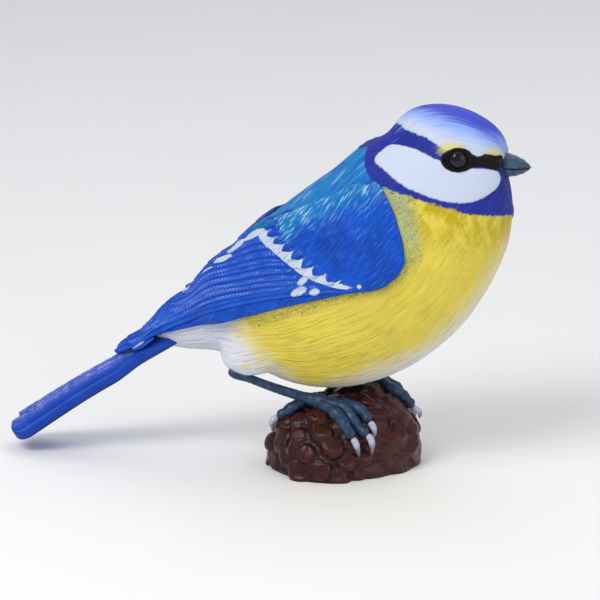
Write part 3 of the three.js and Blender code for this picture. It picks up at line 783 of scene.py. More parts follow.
def painted_edge_group():
    """Shader group: a mask of a painted patch, from the distance inside its outline, with a brushed edge."""
    tree, w, given, ends = new_tree(
        "Painted edge",
        "ShaderNodeTree",
        (
            ("Distance", NUMBER, 0.0),
            ("Place", VECTOR, None),
            ("Wobble", NUMBER, 0.5),
            ("Wobble size", NUMBER, 1.0),
            ("Softness", NUMBER, 0.2),
        ),
        (("Mask", NUMBER),),
    )
    ragged = w.noise(given["Place"], w.maths("DIVIDE", 1.0, given["Wobble size"]), 2.0)
    wobble = w.both(w.maths("SUBTRACT", ragged, 0.5), given["Wobble"])
    shifted = w.maths("ADD", given["Distance"], wobble)
    low = w.maths("MULTIPLY", given["Softness"], -1.0)
    w.feed(ends["Mask"], w.ramp(shifted, low, given["Softness"]))
    return tree


def brush_group():
    """Shader group: brush strokes along a flow in millimetres, and where they leave light and dark streaks."""
    tree, w, given, ends = new_tree(
        "Brush strokes",
        "ShaderNodeTree",
        (
            ("Flow", VECTOR, None),
            ("Width", NUMBER, 0.5),
            ("Length", NUMBER, 4.0),
            ("Seed", NUMBER, 0.0),
        ),
        (("Value", NUMBER), ("Light", NUMBER), ("Dark", NUMBER)),
    )
    value = stroke_height(w, given["Flow"], given["Width"], given["Length"], given["Seed"])
    w.feed(ends["Value"], value)
    w.feed(ends["Light"], w.ramp(value, 0.56, 0.72))
    w.feed(ends["Dark"], w.ramp(value, 0.44, 0.28))
    return tree


def vane_group():
    """Shader group: lines along a vane, broken into dashes, from its run in millimetres and its side from -1 to 1."""
    tree, w, given, ends = new_tree(
        "Vane lines",
        "ShaderNodeTree",
        (("Vane", VECTOR, None), ("Lines", NUMBER, 9.0), ("Dash length", NUMBER, 0.7)),
        (("Lines", NUMBER), ("Dashes", NUMBER), ("Side", NUMBER), ("Cover", NUMBER)),
    )
    run, side, cover = w.separate(given["Vane"])
    lines = vane_ridges(w, run, side, given["Lines"])
    slanted = w.maths("ADD", run, w.maths("MULTIPLY", side, 0.8))
    dashes = w.maths("SINE", w.maths("DIVIDE", w.maths("MULTIPLY", slanted, math.tau), given["Dash length"]))
    gaps = w.combine(w.maths("MULTIPLY", run, 0.4), w.maths("MULTIPLY", side, 2.0), 0.0)
    broken = w.ramp(w.noise(gaps, 1.0, 2.0), 0.42, 0.62)
    shown = w.both(w.both(w.ramp(lines, 0.3, 0.9), w.ramp(dashes, -0.6, 0.3)), broken)
    for label, value in (("Lines", lines), ("Dashes", shown), ("Side", side), ("Cover", cover)):
        w.feed(ends[label], value)
    return tree


def gloss_group():
    """Shader group: roughness of hand-laid paint, with finger wear, and fine orange peel as a height."""
    tree, w, given, ends = new_tree(
        "Paint gloss",
        "ShaderNodeTree",
        (("Place", VECTOR, None), ("Roughness", NUMBER, 0.4), ("Variation", NUMBER, 0.12)),
        (("Roughness", NUMBER), ("Height", NUMBER)),
    )
    broad = w.noise(given["Place"], 0.25, 3.0)
    shift = w.both(w.maths("SUBTRACT", broad, 0.5), w.maths("MULTIPLY", given["Variation"], 2.0))
    w.feed(ends["Roughness"], w.maths("ADD", given["Roughness"], shift, clamp=True))
    w.feed(ends["Height"], w.noise(given["Place"], 3.5, 2.0))
    return tree


EFFECTS = {
    "edge": ("Painted edge", painted_edge_group),
    "brush": ("Brush strokes", brush_group),
    "vane": ("Vane lines", vane_group),
    "gloss": ("Paint gloss", gloss_group),
}


class Paintwork(Wiring):
    """A material's wiring, with the shared effects at hand."""

    def __init__(self, name):
        self.material = bpy.data.materials.new(name)
        self.material.use_nodes = True
        super().__init__(self.material.node_tree)
        self.tree.nodes.clear()
        self.place = self.scaled(self.node("ShaderNodeTexCoord").outputs["Object"], 1 / MM)

    def value(self, name):
        return self.node("ShaderNodeAttribute", attribute_name=name).outputs["Fac"]

    def flow(self, name="flow"):
        return self.node("ShaderNodeAttribute", attribute_name=name).outputs["Vector"]

    def effect(self, key, inputs):
        made = self.node("ShaderNodeGroup", node_tree=built(*EFFECTS[key]))
        for label, value in inputs.items():
            self.feed(made.inputs[label], value)
        return made.outputs

    def patch(self, distance, place, wobble, size, softness):
        """A painted patch: how much its edge wanders, over what size, and how soft it is, in millimetres."""
        inputs = {"Distance": distance, "Place": place, "Wobble": wobble, "Wobble size": size, "Softness": softness}
        return self.effect("edge", inputs)["Mask"]

    def brush(self, flow, width, length, seed):
        return self.effect("brush", {"Flow": flow, "Width": width, "Length": length, "Seed": seed})

    def toned(self, first, second, tone, low, high):
        """Two colours blended by a tone, from the first at its low value to the second at its high one."""
        return self.mix(self.ramp(tone, low, high), first, second)

    def over(self, base, share, colour, strength=1.0):
        """A colour laid over the base where the share is high."""
        return self.mix(share if strength == 1.0 else self.maths("MULTIPLY", share, strength), base, colour)

    def finish(self, base, roughness, height=None, depth=0.05, specular=0.2, variation=0.1):
        """Ends the material in one glossy paint: its colour, its roughness, and a bump from a height."""
        gloss = self.effect("gloss", {"Place": self.place, "Roughness": roughness, "Variation": variation})
        relief = self.maths("MULTIPLY", gloss["Height"], 0.12)
        if height is not None:
            relief = self.maths("ADD", relief, height)
        bump = self.node("ShaderNodeBump", {"Height": relief, "Distance": depth * MM, "Strength": 1.0})
        shader = self.node("ShaderNodeBsdfPrincipled")
        self.feed(shader.inputs["Base Color"], base)
        self.feed(shader.inputs["Roughness"], gloss["Roughness"])
        self.feed(shader.inputs["Normal"], bump.outputs[0])
        shader.inputs["Specular IOR Level"].default_value = specular
        end = self.node("ShaderNodeOutputMaterial")
        self.feed(end.inputs["Surface"], shader.outputs[0])
        return self.material


# Paints

# Tints that are brushed over the paints, among them painted highlights and painted shade
VENT_BLUE_SHADE = srgb(150, 170, 225)
MOSS_SHADE = srgb(122, 130, 66)
MOSS_LIGHT = srgb(140, 188, 190)
MOSS_FLECK = srgb(46, 58, 34)
BACK_HIGHLIGHT = srgb(160, 205, 225)
PLUMAGE_GROOVE_SHADE = (0.42, 0.42, 0.5)
PLUMAGE_GLINT = (0.8, 0.8, 0.82)
COLLAR_HIGHLIGHT = srgb(34, 44, 170)
COLLAR_GLINT = srgb(84, 92, 200)
BROW_BLUE = srgb(150, 178, 240)
NAPE_STREAK = srgb(150, 205, 215)
SMUDGE_YELLOW = srgb(214, 200, 96)
WING_TEAL = srgb(30, 132, 178)
WING_HIGHLIGHT = srgb(170, 214, 232)
WING_GLINT = srgb(70, 140, 235)
WING_PATCH = srgb(14, 110, 160)
WING_GROOVE_SHADE = (0.25, 0.28, 0.45)
VANE_LINE = srgb(8, 28, 110)
VANE_DASH = srgb(140, 168, 236)
VANE_EDGE_HIGHLIGHT = srgb(110, 146, 236)
VANE_SHADE = srgb(8, 20, 90)
ROOF_DARK, ROOF_LIGHT = srgb(70, 96, 200), srgb(108, 124, 216)
TAIL_LINE = srgb(8, 20, 100)
TAIL_HIGHLIGHT = srgb(176, 184, 240)
TAIL_SHADE = srgb(8, 18, 84)
TAIL_FLECK = srgb(185, 196, 235)
TAIL_UNDER = srgb(14, 58, 160)
BILL_EDGE, BILL_ROOT = srgb(120, 140, 150), srgb(24, 30, 44)
EYE_DEPTH = srgb(24, 20, 40)
LEG_FOLD_SHADE, LEG_SPOT_HIGHLIGHT = srgb(14, 22, 38), srgb(110, 135, 160)
CLAW_MOTTLE, CLAW_TIP = srgb(120, 120, 150), srgb(60, 56, 76)
MOUND_DARK, MOUND_HOLLOW_SHADE, MOUND_TOP_PALE = srgb(50, 17, 16), srgb(18, 7, 8), srgb(104, 52, 48)
FLOOR_TONES = (0.86, 0.86, 0.86), (0.9, 0.9, 0.9)


def darker(colour, share):
    return [channel * share for channel in colour]


def skin_paint(paints):
    """Yellow and pale grey below, teal on the back, and the patches of the head."""
    p = Paintwork("Painted plumage")
    flow = p.flow()
    fine, broad, thin = p.brush(flow, 0.42, 4.5, 1.0), p.brush(flow, 1.1, 7.0, 9.0), p.brush(flow, 0.32, 3.0, 4.0)
    collar, border, upper = p.value("collar"), p.value("border"), p.value("upper")
    base = p.toned(paints.yellow, darker(paints.yellow, 0.9), p.noise(p.place, 0.16, 3.0), 0.35, 0.7)
    olive = p.both(p.ramp(collar, -9.0, -1.0), p.ramp(p.noise(flow, 0.35, 2.0), 0.35, 0.6))
    base = p.over(base, olive, paints.olive)
    base = p.over(base, p.patch(p.maths("MULTIPLY", p.value("yellow"), -1.0), flow, 5.0, 2.5, 4.6), paints.grey)
    # Bluish streaks at the rear under the wing: painted shade
    base = p.over(base, p.both(p.ramp(p.value("rear"), 0.0, 1.0), broad["Light"]), VENT_BLUE_SHADE, 0.6)
    base = p.over(base, p.patch(p.value("dab"), flow, 0.8, 1.0, 0.8), paints.yellow, 0.6)
    speckle = p.noise(p.place, 2.2, 3.0, 0.7)
    moss = p.both(p.ramp(border, 0.0, 3.0), p.ramp(speckle, 0.3, 0.6))
    base = p.over(base, moss, p.mix(upper, MOSS_SHADE, paints.moss), 0.8)
    light = p.both(p.both(p.ramp(border, 2.0, 5.0), p.ramp(speckle, 0.5, 0.62)), upper)
    base = p.over(base, light, MOSS_LIGHT, 0.6)
    fleck = p.both(p.ramp(border, 0.4, 1.6), p.ramp(p.noise(p.place, 2.6, 1.0), 0.64, 0.7))
    base = p.over(base, fleck, MOSS_FLECK, 0.75)
    teal = p.toned(paints.teal, paints.cobalt, p.noise(flow, 0.3, 2.0), 0.48, 0.75)
    # Pale streaks over the teal of the back: painted highlights
    teal = p.over(teal, broad["Light"], BACK_HIGHLIGHT, 0.45)
    base = p.over(base, p.patch(p.value("back"), flow, 1.4, 1.5, 0.8), teal)
    # Painted shade: the paint darkened along thin stroke lines, more on the lower body
    groove_shade = p.both(p.ramp(thin["Value"], 0.42, 0.32), p.value("lined"))
    base = p.over(base, groove_shade, p.mix(1.0, base, PLUMAGE_GROOVE_SHADE, "MULTIPLY"))
    base = p.over(base, thin["Light"], PLUMAGE_GLINT, 0.06)
    # Brighter violet along the light brush streaks of collar and bib: painted highlights
    violet = p.over(paints.violet, broad["Light"], COLLAR_HIGHLIGHT)
    violet = p.over(violet, thin["Light"], COLLAR_GLINT, 0.3)
    base = p.over(base, p.patch(collar, flow, 0.8, 0.9, 0.18), violet)
    cap = p.value("cap")
    frayed = p.maths("ADD", cap, p.maths("MULTIPLY", p.maths("SUBTRACT", fine["Value"], 0.5), 6.0))
    crest = p.over(p.toned(paints.white, BROW_BLUE, cap, -4.2, 0.0), p.ramp(frayed, -1.4, 3.4), paints.cap, 0.92)
    base = p.over(base, p.patch(p.value("crown"), flow, 0.9, 0.9, 0.22), crest)
    base = p.over(base, p.both(p.ramp(p.value("nape"), 0.0, 1.0), fine["Light"]), NAPE_STREAK)
    base = p.over(base, p.patch(p.value("smudge"), flow, 2.2, 1.0, 1.0), SMUDGE_YELLOW, 0.85)
    cheek = p.patch(p.value("cheek"), p.place, 0.35, 0.8, 0.16)
    mask = p.patch(p.value("mask"), p.place, 0.3, 0.7, 0.12)
    base = p.over(p.over(base, cheek, paints.white), mask, paints.black)
    rough = p.maths("SUBTRACT", 0.48, p.maths("MULTIPLY", mask, 0.26))
    smoothed = p.maths("ADD", p.maths("MULTIPLY", cheek, 1.2), p.maths("MULTIPLY", mask, 1.5))
    height = p.both(fine["Value"], p.maths("SUBTRACT", 1.6, smoothed))
    return p.finish(base, rough, height, 0.2, specular=0.16)


def wing_paint(paints):
    """Cobalt coverts, teal towards the back, lined long feathers, and the white bar and marks."""
    p = Paintwork("Painted wing")
    flow, vane = p.flow(), p.flow("vane")
    fine, broad, thin = p.brush(flow, 0.5, 4.0, 2.0), p.brush(flow, 1.2, 5.0, 5.0), p.brush(flow, 0.3, 2.6, 3.0)
    lines = p.effect("vane", {"Vane": vane, "Lines": 9.0, "Dash length": 0.75})
    barred = p.value("barred")
    base = p.toned(paints.cobalt, darker(paints.cobalt, 0.7), p.noise(flow, 0.14, 3.0), 0.35, 0.68)
    back = p.patch(p.value("back"), flow, 7.0, 4.0, 2.6)
    base = p.over(base, back, p.over(paints.teal, broad["Light"], WING_TEAL))
    # Pale streaks over the teal of the wing: painted highlights
    base = p.over(base, p.both(p.ramp(thin["Value"], 0.57, 0.64), back), WING_HIGHLIGHT, 0.9)
    base = p.over(base, thin["Light"], WING_GLINT, 0.22)
    blades = p.toned(paints.flight, paints.cobalt, p.noise(vane, 0.25, 2.0), 0.35, 0.65)
    blades = p.over(blades, p.ramp(lines["Lines"], 0.0, -1.0), VANE_LINE, 0.5)
    blades = p.over(blades, p.both(lines["Dashes"], barred), VANE_DASH, 0.6)
    # A pale line along the raised lower edge of each long feather: painted highlight; the dark line along the sunk
    # upper edge is painted shade
    blades = p.over(blades, p.both(p.ramp(lines["Side"], 0.7, 0.95), barred), VANE_EDGE_HIGHLIGHT, 0.45)
    blades = p.over(blades, p.ramp(lines["Side"], -0.5, -1.0), VANE_SHADE, 0.6)
    base = p.over(base, lines["Cover"], blades)
    base = p.over(base, p.patch(p.value("patch"), flow, 0.6, 1.0, 0.3), WING_PATCH)
    base = p.over(base, p.patch(p.value("white"), p.place, 0.3, 0.5, 0.08), paints.white)
    # Painted shade: the wing's paint darkened along thin stroke lines
    groove_shaded = p.mix(1.0, base, WING_GROOVE_SHADE, "MULTIPLY")
    base = p.over(base, p.ramp(thin["Value"], 0.44, 0.3), groove_shaded, 0.45)
    strokes = p.both(fine["Value"], p.maths("SUBTRACT", 1.5, p.maths("MULTIPLY", lines["Cover"], 1.3)))
    ridges = p.maths("MULTIPLY", p.both(lines["Lines"], lines["Cover"]), 0.3)
    return p.finish(base, 0.34, p.maths("ADD", strokes, ridges), 0.22)


def tail_paint(paints):
    """Blue sides, a paler lined roof with painted highlights, and a darker underside."""
    p = Paintwork("Painted tail")
    vane = p.flow("vane")
    lines = p.effect("vane", {"Vane": vane, "Lines": 8.0, "Dash length": 2.4})
    under = p.value("under")
    upper = p.both(p.ramp(under, 0.5, 0.0), p.ramp(p.value("outer"), 0.62, 0.5))
    base = p.toned(paints.tail, paints.flight, p.noise(vane, 0.2, 3.0), 0.35, 0.65)
    base = p.over(base, p.ramp(lines["Lines"], 0.0, -1.0), TAIL_LINE, 0.45)
    # The roof of the tail is painted in paler blues, partly its own colour and partly a painted highlight on its top
    base = p.over(base, upper, p.toned(ROOF_DARK, ROOF_LIGHT, p.noise(vane, 0.35, 3.0), 0.3, 0.7), 0.75)
    # Pale streaks along the ridges of the roof: painted highlights
    streaks = p.both(p.ramp(lines["Lines"], 0.2, 0.9), p.ramp(p.noise(vane, 0.6, 2.0), 0.45, 0.6))
    base = p.over(base, p.both(streaks, upper), TAIL_HIGHLIGHT, 0.6)
    base = p.over(base, p.ramp(lines["Side"], -0.5, -1.0), TAIL_SHADE, 0.5)
    stretched = p.vector("MULTIPLY", p.place, (0.35, 1.6, 0.9))
    base = p.over(base, p.both(p.ramp(p.noise(stretched, 1.0, 3.0, 0.65), 0.66, 0.71), upper), TAIL_FLECK, 0.7)
    base = p.over(base, under, TAIL_UNDER, 0.8)
    return p.finish(base, 0.36, p.maths("MULTIPLY", lines["Lines"], 0.35), 0.18)


def bill_paint(paints):
    p = Paintwork("Bill paint")
    tone = p.noise(p.vector("MULTIPLY", p.place, (0.35, 1.0, 1.6)), 1.2, 3.0)
    base = p.toned(paints.slate, darker(paints.slate, 0.6), tone, 0.35, 0.65)
    base = p.over(base, p.ramp(p.value("ridge"), 0.5, 1.0), BILL_EDGE, 0.35)
    base = p.over(base, p.ramp(p.value("base"), 0.5, 1.0), BILL_ROOT)
    return p.finish(base, 0.38, tone, 0.12, specular=0.25)


def eye_paint(paints):
    p = Paintwork("Eye gloss")
    base = p.toned(paints.black, EYE_DEPTH, p.noise(p.place, 0.6, 1.0), 0.3, 0.8)
    return p.finish(base, 0.06, None, 0.01, specular=0.35, variation=0.02)


def leg_paint(paints):
    """Dark blue, with painted shade in the folds and pale spots that are painted highlights."""
    p = Paintwork("Leg paint")
    tone = p.noise(p.place, 0.9, 3.0)
    base = p.toned(paints.leg, darker(paints.leg, 0.5), tone, 0.35, 0.68)
    folds = p.maths("SINE", p.maths("MULTIPLY", p.value("run"), math.pi / (SCUTE_SPACING * MM)))
    # Painted shade in the folds between the scutes
    base = p.over(base, p.ramp(p.maths("ABSOLUTE", folds), 0.5, 0.0), LEG_FOLD_SHADE, 0.2)
    # Pale spots: painted highlights
    base = p.over(base, p.ramp(p.noise(p.place, 1.7, 2.0), 0.6, 0.74), LEG_SPOT_HIGHLIGHT, 0.22)
    return p.finish(base, 0.36, tone, 0.2, specular=0.35)


def claw_paint(paints):
    p = Paintwork("Claw paint")
    mottle = p.ramp(p.noise(p.place, 2.4, 2.0), 0.45, 0.7)
    base = p.over(paints.claw, mottle, CLAW_MOTTLE, 0.4)
    base = p.over(base, p.ramp(p.value("run"), 1.4 * MM, 3.4 * MM), CLAW_TIP, 0.7)
    return p.finish(base, 0.3, mottle, 0.06, specular=0.4)


def mound_paint(paints):
    """Dark brown, with painted shade between the lumps and a little paler in patches on their tops."""
    p = Paintwork("Mound paint")
    hollow = p.value("hollow")
    base = p.toned(paints.umber, MOUND_DARK, p.noise(p.place, 0.35, 4.0, 0.6), 0.35, 0.7)
    # Painted shade between the lumps
    base = p.over(base, p.ramp(hollow, 0.3, 1.6), MOUND_HOLLOW_SHADE, 0.45)
    # A little paler in patches on the tops of the lumps
    lump_tops = p.both(p.ramp(hollow, 0.25, 0.0), p.ramp(p.noise(p.place, 1.4, 3.0), 0.45, 0.65))
    base = p.over(base, lump_tops, MOUND_TOP_PALE, 0.2)
    grain = p.maths("MULTIPLY", p.noise(p.place, 2.2, 4.0, 0.65), 0.3)
    return p.finish(base, 0.22, grain, 0.25, specular=0.28, variation=0.2)


# The skin of head, neck and torso


def ellipsoid(mass, segments=64, rings=40):
    """Points and faces of a tilted ellipsoid."""
    at, half, pitch, _ = mass
    c, s = math.cos(math.radians(pitch)), math.sin(math.radians(pitch))
    local = ball_points(segments, np.linspace(0, math.pi, rings + 2)[1:-1])
    local = np.concatenate([local.reshape(-1, 3), [(0, 0, 1), (0, 0, -1)]]) * np.array(half)
    x, y, z = local.T
    points = np.stack([x * c - z * s, y, x * s + z * c], -1) + np.array(at)
    return points, ring_faces(rings, segments)


def ball_points(segments, angles):
    """Rings of points on a ball of radius one, at these angles from its top."""
    turn = np.linspace(0, math.tau, segments, endpoint=False)[None]
    rise = angles[:, None]
    upright = np.cos(rise) * np.ones_like(turn)
    return np.stack([np.sin(rise) * np.cos(turn), np.sin(rise) * np.sin(turn), upright], -1)


def remeshed(points, faces, voxel):
    """The outer surface of closed shells that pass through each other, as even quads."""
    rough = mesh_piece("rough", points / MM, faces, smooth_shaded=False)
    modifier = rough.modifiers.new("Even", "REMESH")
    modifier.mode = "VOXEL"
    modifier.voxel_size = voxel
    modifier.adaptivity = 0
    even = bpy.data.meshes.new_from_object(rough.evaluated_get(bpy.context.evaluated_depsgraph_get()))
    found = np.empty(len(even.vertices) * 3)
    even.vertices.foreach_get("co", found)
    quads = [list(face.vertices) for face in even.polygons]
    bpy.data.objects.remove(rough)
    bpy.data.meshes.remove(even)
    return found.reshape(-1, 3), quads


def flow_over_body(points):
    """How far each point is along the spine and round it, with no seam: both sides mirror each other."""
    knots = np.array(SPINE, float)
    lengths = np.r_[0, np.cumsum(np.linalg.norm(np.diff(knots, axis=0), axis=1))]
    at = np.linspace(0, lengths[-1], 60)
    line = np.stack([np.interp(at, lengths, knots[:, i]) for i in range(3)], 1)
    ways = unit(np.gradient(line, axis=0))
    apart = ((points[:, None] - line[None]) ** 2).sum(-1)
    weights = np.exp(-(apart - apart.min(1, keepdims=True)) / (2 * SPINE_BLEND**2))
    weights /= weights.sum(1, keepdims=True)
    centre, way, run = weights @ line, unit(weights @ ways), weights @ at
    up = np.stack([way[:, 2], np.zeros(len(way)), -way[:, 0]], -1)
    offset = points - centre
    turn = np.arctan2(np.abs(offset[:, 1]), (offset * up).sum(-1))
    run = run + (offset * way).sum(-1) * 0.5
    return np.stack([run, turn * FLOW_RADIUS, points[:, 1]], -1)


def head_places(points):
    """Each point as seen from the head's core, in degrees, and the length of a degree there."""
    offset = points - np.array(HEAD_CORE)
    far = np.linalg.norm(offset, axis=1)
    azimuth = np.degrees(np.arctan2(np.abs(offset[:, 1]), offset[:, 0]))
    height = np.degrees(np.arcsin(np.clip(offset[:, 2] / far, -1, 1)))
    return np.stack([azimuth, height], 1), far * math.radians(1)


def skin_values(points):
    """The paint outlines and the relief of the skin, at each of its points."""
    places, degree = head_places(points)
    near_head = smooth(38, 30, np.linalg.norm(points - np.array(HEAD_CORE), axis=1))
    flow = flow_over_body(points)
    values = {"flow": flow}
    for name, outline in (("cheek", CHEEK), ("crown", CROWN), ("cap", CAP), ("mask", MASK), ("collar", COLLAR)):
        found = inside_outline(rounded_outline(outline), places) * degree
        values[name] = found * near_head - FAR_OUTSIDE * (1 - near_head)
    cheek, crown, mask, collar = (values[name] for name in ("cheek", "crown", "mask", "collar"))
    x, y, z = points.T
    sideways = points[:, [0, 2]]
    values["yellow"] = inside_outline(rounded_outline(YELLOW), sideways)
    border_width = 2.4 + 2.8 * smooth(43, 53, z)
    values["border"] = (border_width - along_path(WING_FRONT, sideways)) * smooth(6, 11, np.abs(y))
    values["upper"] = smooth(44, 56, z)
    values["lined"] = 0.08 + 0.22 * smooth(52, 28, z)
    values["back"] = math.radians(BACK_EDGE) * FLOW_RADIUS - flow[:, 1]
    values["rear"] = smooth(-21, -26, x)
    values["dab"] = np.where(y < 0, 0.9 - np.hypot(x - TUFT_SPOT[0], z - TUFT_SPOT[1]), -5)
    spots = [np.hypot(0.5 * (places[:, 0] - a), places[:, 1] - b) * degree for a, b in SMUDGE_SPOTS]
    values["smudge"] = 1.15 - np.minimum(*spots)
    values["nape"] = 3.2 - np.hypot(places[:, 0] - NAPE_SPOT[0], places[:, 1] - NAPE_SPOT[1]) * degree
    values["carve"] = 1 - np.maximum(0.9 * smooth(-0.4, 0.6, cheek), smooth(-0.5, 0.1, mask))
    from_eye = np.hypot(places[:, 0] - EYE_AZIMUTH - 1, places[:, 1] - EYE_HEIGHT) * degree
    sunk_band = smooth(0.6, -0.2, crown) * smooth(0.2, 1.0, collar) * smooth(0.2, -0.3, cheek)
    values["raise"] = (
        0.3 * smooth(-0.35, 0.35, collar) * np.exp(-np.maximum(collar, 0) / 2.5)
        - 0.22 * sunk_band
        + 0.22 * smooth(-0.3, 1.2, cheek)
        + 0.3 * smooth(-0.3, 0.35, mask)
        + EYE_RING_HEIGHT * np.exp(-(((from_eye - EYE_RING) / EYE_RING_WIDTH) ** 2))
    )
    return values


def build_skin(settings, paints):
    """One skin for head, neck and torso, dented where the bill stands, with its strokes and patches."""
    points, faces, first = [], [], 0
    for mass in BODY_MASSES:
        shell_points, shell_faces = ellipsoid(mass)
        points.append(shell_points)
        faces += [[first + i for i in face] for face in shell_faces]
        first += len(shell_points)
    voxel = settings.voxel / MM * 1
    even, quads = remeshed(np.concatenate(points), faces, voxel)
    even = settled(BODY_MASSES, even)
    dent, width = FACE_DENT
    from_bill = np.hypot(even[:, 1], even[:, 2] - BILL_BASE[2]) / width
    even[:, 0] -= dent * np.exp(-(from_bill**2)) * smooth(27, 31, even[:, 0])
    sizes = {
        "Stroke width": settings.stroke_width,
        "Stroke length": settings.stroke_length,
        "Stroke depth": settings.stroke_depth,
    }
    piece = mesh_piece("bird_skin", even, quads, skin_values(even))
    piece = carved(piece, built("Carved strokes", stroke_carving), skin_paint(paints), **sizes)
    finished(piece, "body_paint", "torso", "neck", "head")


# The wings


def wing_axis():
    """Places, ways and lengths along the wing's axis."""
    a, b, c = np.array(WING_AXIS, float)
    t = np.linspace(0, 1, 1601)[:, None]
    line = (1 - t) ** 2 * a + 2 * t * (1 - t) * b + t**2 * c
    ways = unit(2 * (1 - t) * (b - a) + 2 * t * (c - b))
    lengths = np.r_[0, np.cumsum(np.linalg.norm(np.diff(line, axis=0), axis=1))]
    return line, ways, lengths


AXIS_LINE, AXIS_WAYS, AXIS_LENGTHS = wing_axis()


def wing_reach(along, turn):
    """Where rays square to the wing's axis start, the way they run, and where the wing's inner and outer face lie."""
    on_axis = np.clip(along, 0, AXIS_LENGTHS[-1])
    start = np.stack([np.interp(on_axis, AXIS_LENGTHS, AXIS_LINE[:, i]) for i in range(3)], -1)
    way = unit(np.stack([np.interp(on_axis, AXIS_LENGTHS, AXIS_WAYS[:, i]) for i in range(3)], -1))
    start = start + way * np.minimum(along, 0)[..., None]
    up = np.stack([way[..., 2], np.zeros(along.shape), -way[..., 0]], -1)
    bend = np.radians(turn)[..., None]
    out = up * np.cos(bend) + np.array([0, RIGHT, 0]) * np.sin(bend)
    in_body = field(BODY_MASSES, start) < 0
    body = np.where(in_body, reach(lambda p: field(BODY_MASSES, p), start, out) + SEAM, 0)
    shell = reach(lambda p: field(WING_MASSES, p), start, out)
    shell = shell + eased(WING_COVER, along) * (0.45 + 0.55 * np.minimum(1, turn / 50))
    outer = np.maximum(shell, body + 0.6)
    inner = np.maximum.reduce([body, outer - WING_SHEET, np.full(outer.shape, 0.25)])
    return start, out, inner, outer


def wing_flow(along, turn):
    """Brush flow on the wing: along and across strokes that slant down and back."""
    arc = np.radians(turn) * WING_RADIUS
    c, s = math.cos(math.radians(STROKE_SLANT)), math.sin(math.radians(STROKE_SLANT))
    return np.stack([along * c + arc * s, arc * c - along * s, np.zeros(np.shape(along))], -1)


def bar_outline():
    """The white bar: a smooth rear edge along the covert tips, and a front edge cut into teeth."""
    rear = [(along + BAR_REAR, turn) for along, turn in BAR_TIPS]
    gaps = [(BAR_TIPS[0][0], BAR_TIPS[0][1] - 4), *BAR_TIPS, (BAR_TIPS[-1][0], BAR_TIPS[-1][1] + 4)]
    gaps = np.array(gaps, float)
    gaps = (gaps[:-1] + gaps[1:]) / 2 + (BAR_REAR - BAR_WIDTH, 0)
    front = []
    for tooth, before, after in zip(np.array(BAR_TEETH, float), gaps[:-1], gaps[1:]):
        foot = (before + after) / 2
        waist = foot + 0.45 * (tooth - foot)
        sides = [waist + 0.16 * (gap - foot) for gap in (before, after)]
        front += [tuple(before), tuple(sides[0]), tuple(tooth), tuple(sides[1])]
    outline = rear + list(BAR_END) + front[::-1] + [BAR_START]
    return [(along, math.radians(turn) * WING_RADIUS) for along, turn in outline]


def wing_marks(along, turn):
    """How far inside the white marks and the blue of the back each place on the wing is, in millimetres."""
    arc = np.radians(turn) * WING_RADIUS
    places = np.stack([along.ravel(), arc.ravel()], 1)
    white = inside_outline(bar_outline(), places)
    for mark in WHITE_MARKS:
        white = np.maximum(white, inside_dab(mark, places))
    back = math.radians(BACK_ON_WING) * WING_RADIUS - places[:, 1] + 0.5 - FAR_OUTSIDE * smooth(26, 32, places[:, 0])
    found = {"white": white, "back": back, "patch": inside_dab(TEAL_PATCH, places)}
    return {label: numbers.reshape(along.shape) for label, numbers in found.items()}


def inside_dab(dab, places):
    """How far inside an oval dab of paint on the wing each place is."""
    along, turn, half_length, half_width, slope = dab
    run, rise = (places - (along, math.radians(turn) * WING_RADIUS)).T
    rise = rise - slope * run
    return half_width * (1 - np.hypot(run / half_length, rise / half_width))


def wing_shell(heap, stations, across):
    """The sheet of the folded wing, with a rounded rim all the way round."""
    along = np.linspace(WING_START, WING_END, stations)[:, None] * np.ones((1, across + 1))
    share = np.linspace(0, 1, across + 1)[None]
    top, foot = traced(WING_TOP, along), traced(WING_FOOT, along)
    turn = top + (foot - top) * share
    start, out, inner, outer = wing_reach(along, turn)
    rim = np.minimum(1, np.minimum(share, 1 - share) / 0.05)
    rim = rim * np.minimum(1, (along - WING_START) / 1.6)
    tapered = inner + (outer - inner) * np.sqrt(np.maximum(0.04, 1 - (1 - rim) ** 2))
    flow = wing_flow(along, turn)
    add_sheet(
        heap, start + out * tapered[..., None], start + out * inner[..., None], None, flow=flow,
        vane=np.zeros(flow.shape), carve=(1.0 * (rim > 0.3), 0.0), barred=0.0, **{"raise": 0.0},
        **wing_marks(along, turn),
    )


def add_sheet(heap, upper, lower, end, **values):
    """Adds a closed sheet from its upper and lower face. A value is a grid, a number, or a number for each face."""
    shape = upper.shape[:2]
    spread = {}
    for label, found in values.items():
        faces = found if isinstance(found, tuple) else (found, found)
        grids = [face * np.ones(shape) if np.ndim(face) < 3 else face for face in faces]
        spread[label] = np.concatenate([grids[0], grids[1][:, ::-1]], 1)
    rings = np.concatenate([upper, lower[:, ::-1]], 1)
    heap.add(rings, rings[0].mean(0), rings[-1].mean(0) if end is None else end, **spread)


def vane_steps(first, end, spacing, tip_steps):
    """Stations along a vane: even ones, then those of its rounded tip, counted back from its end."""
    return np.r_[np.linspace(first, end - VANE_TIP, max(10, int((end - first) / spacing))), end - np.array(tip_steps)]


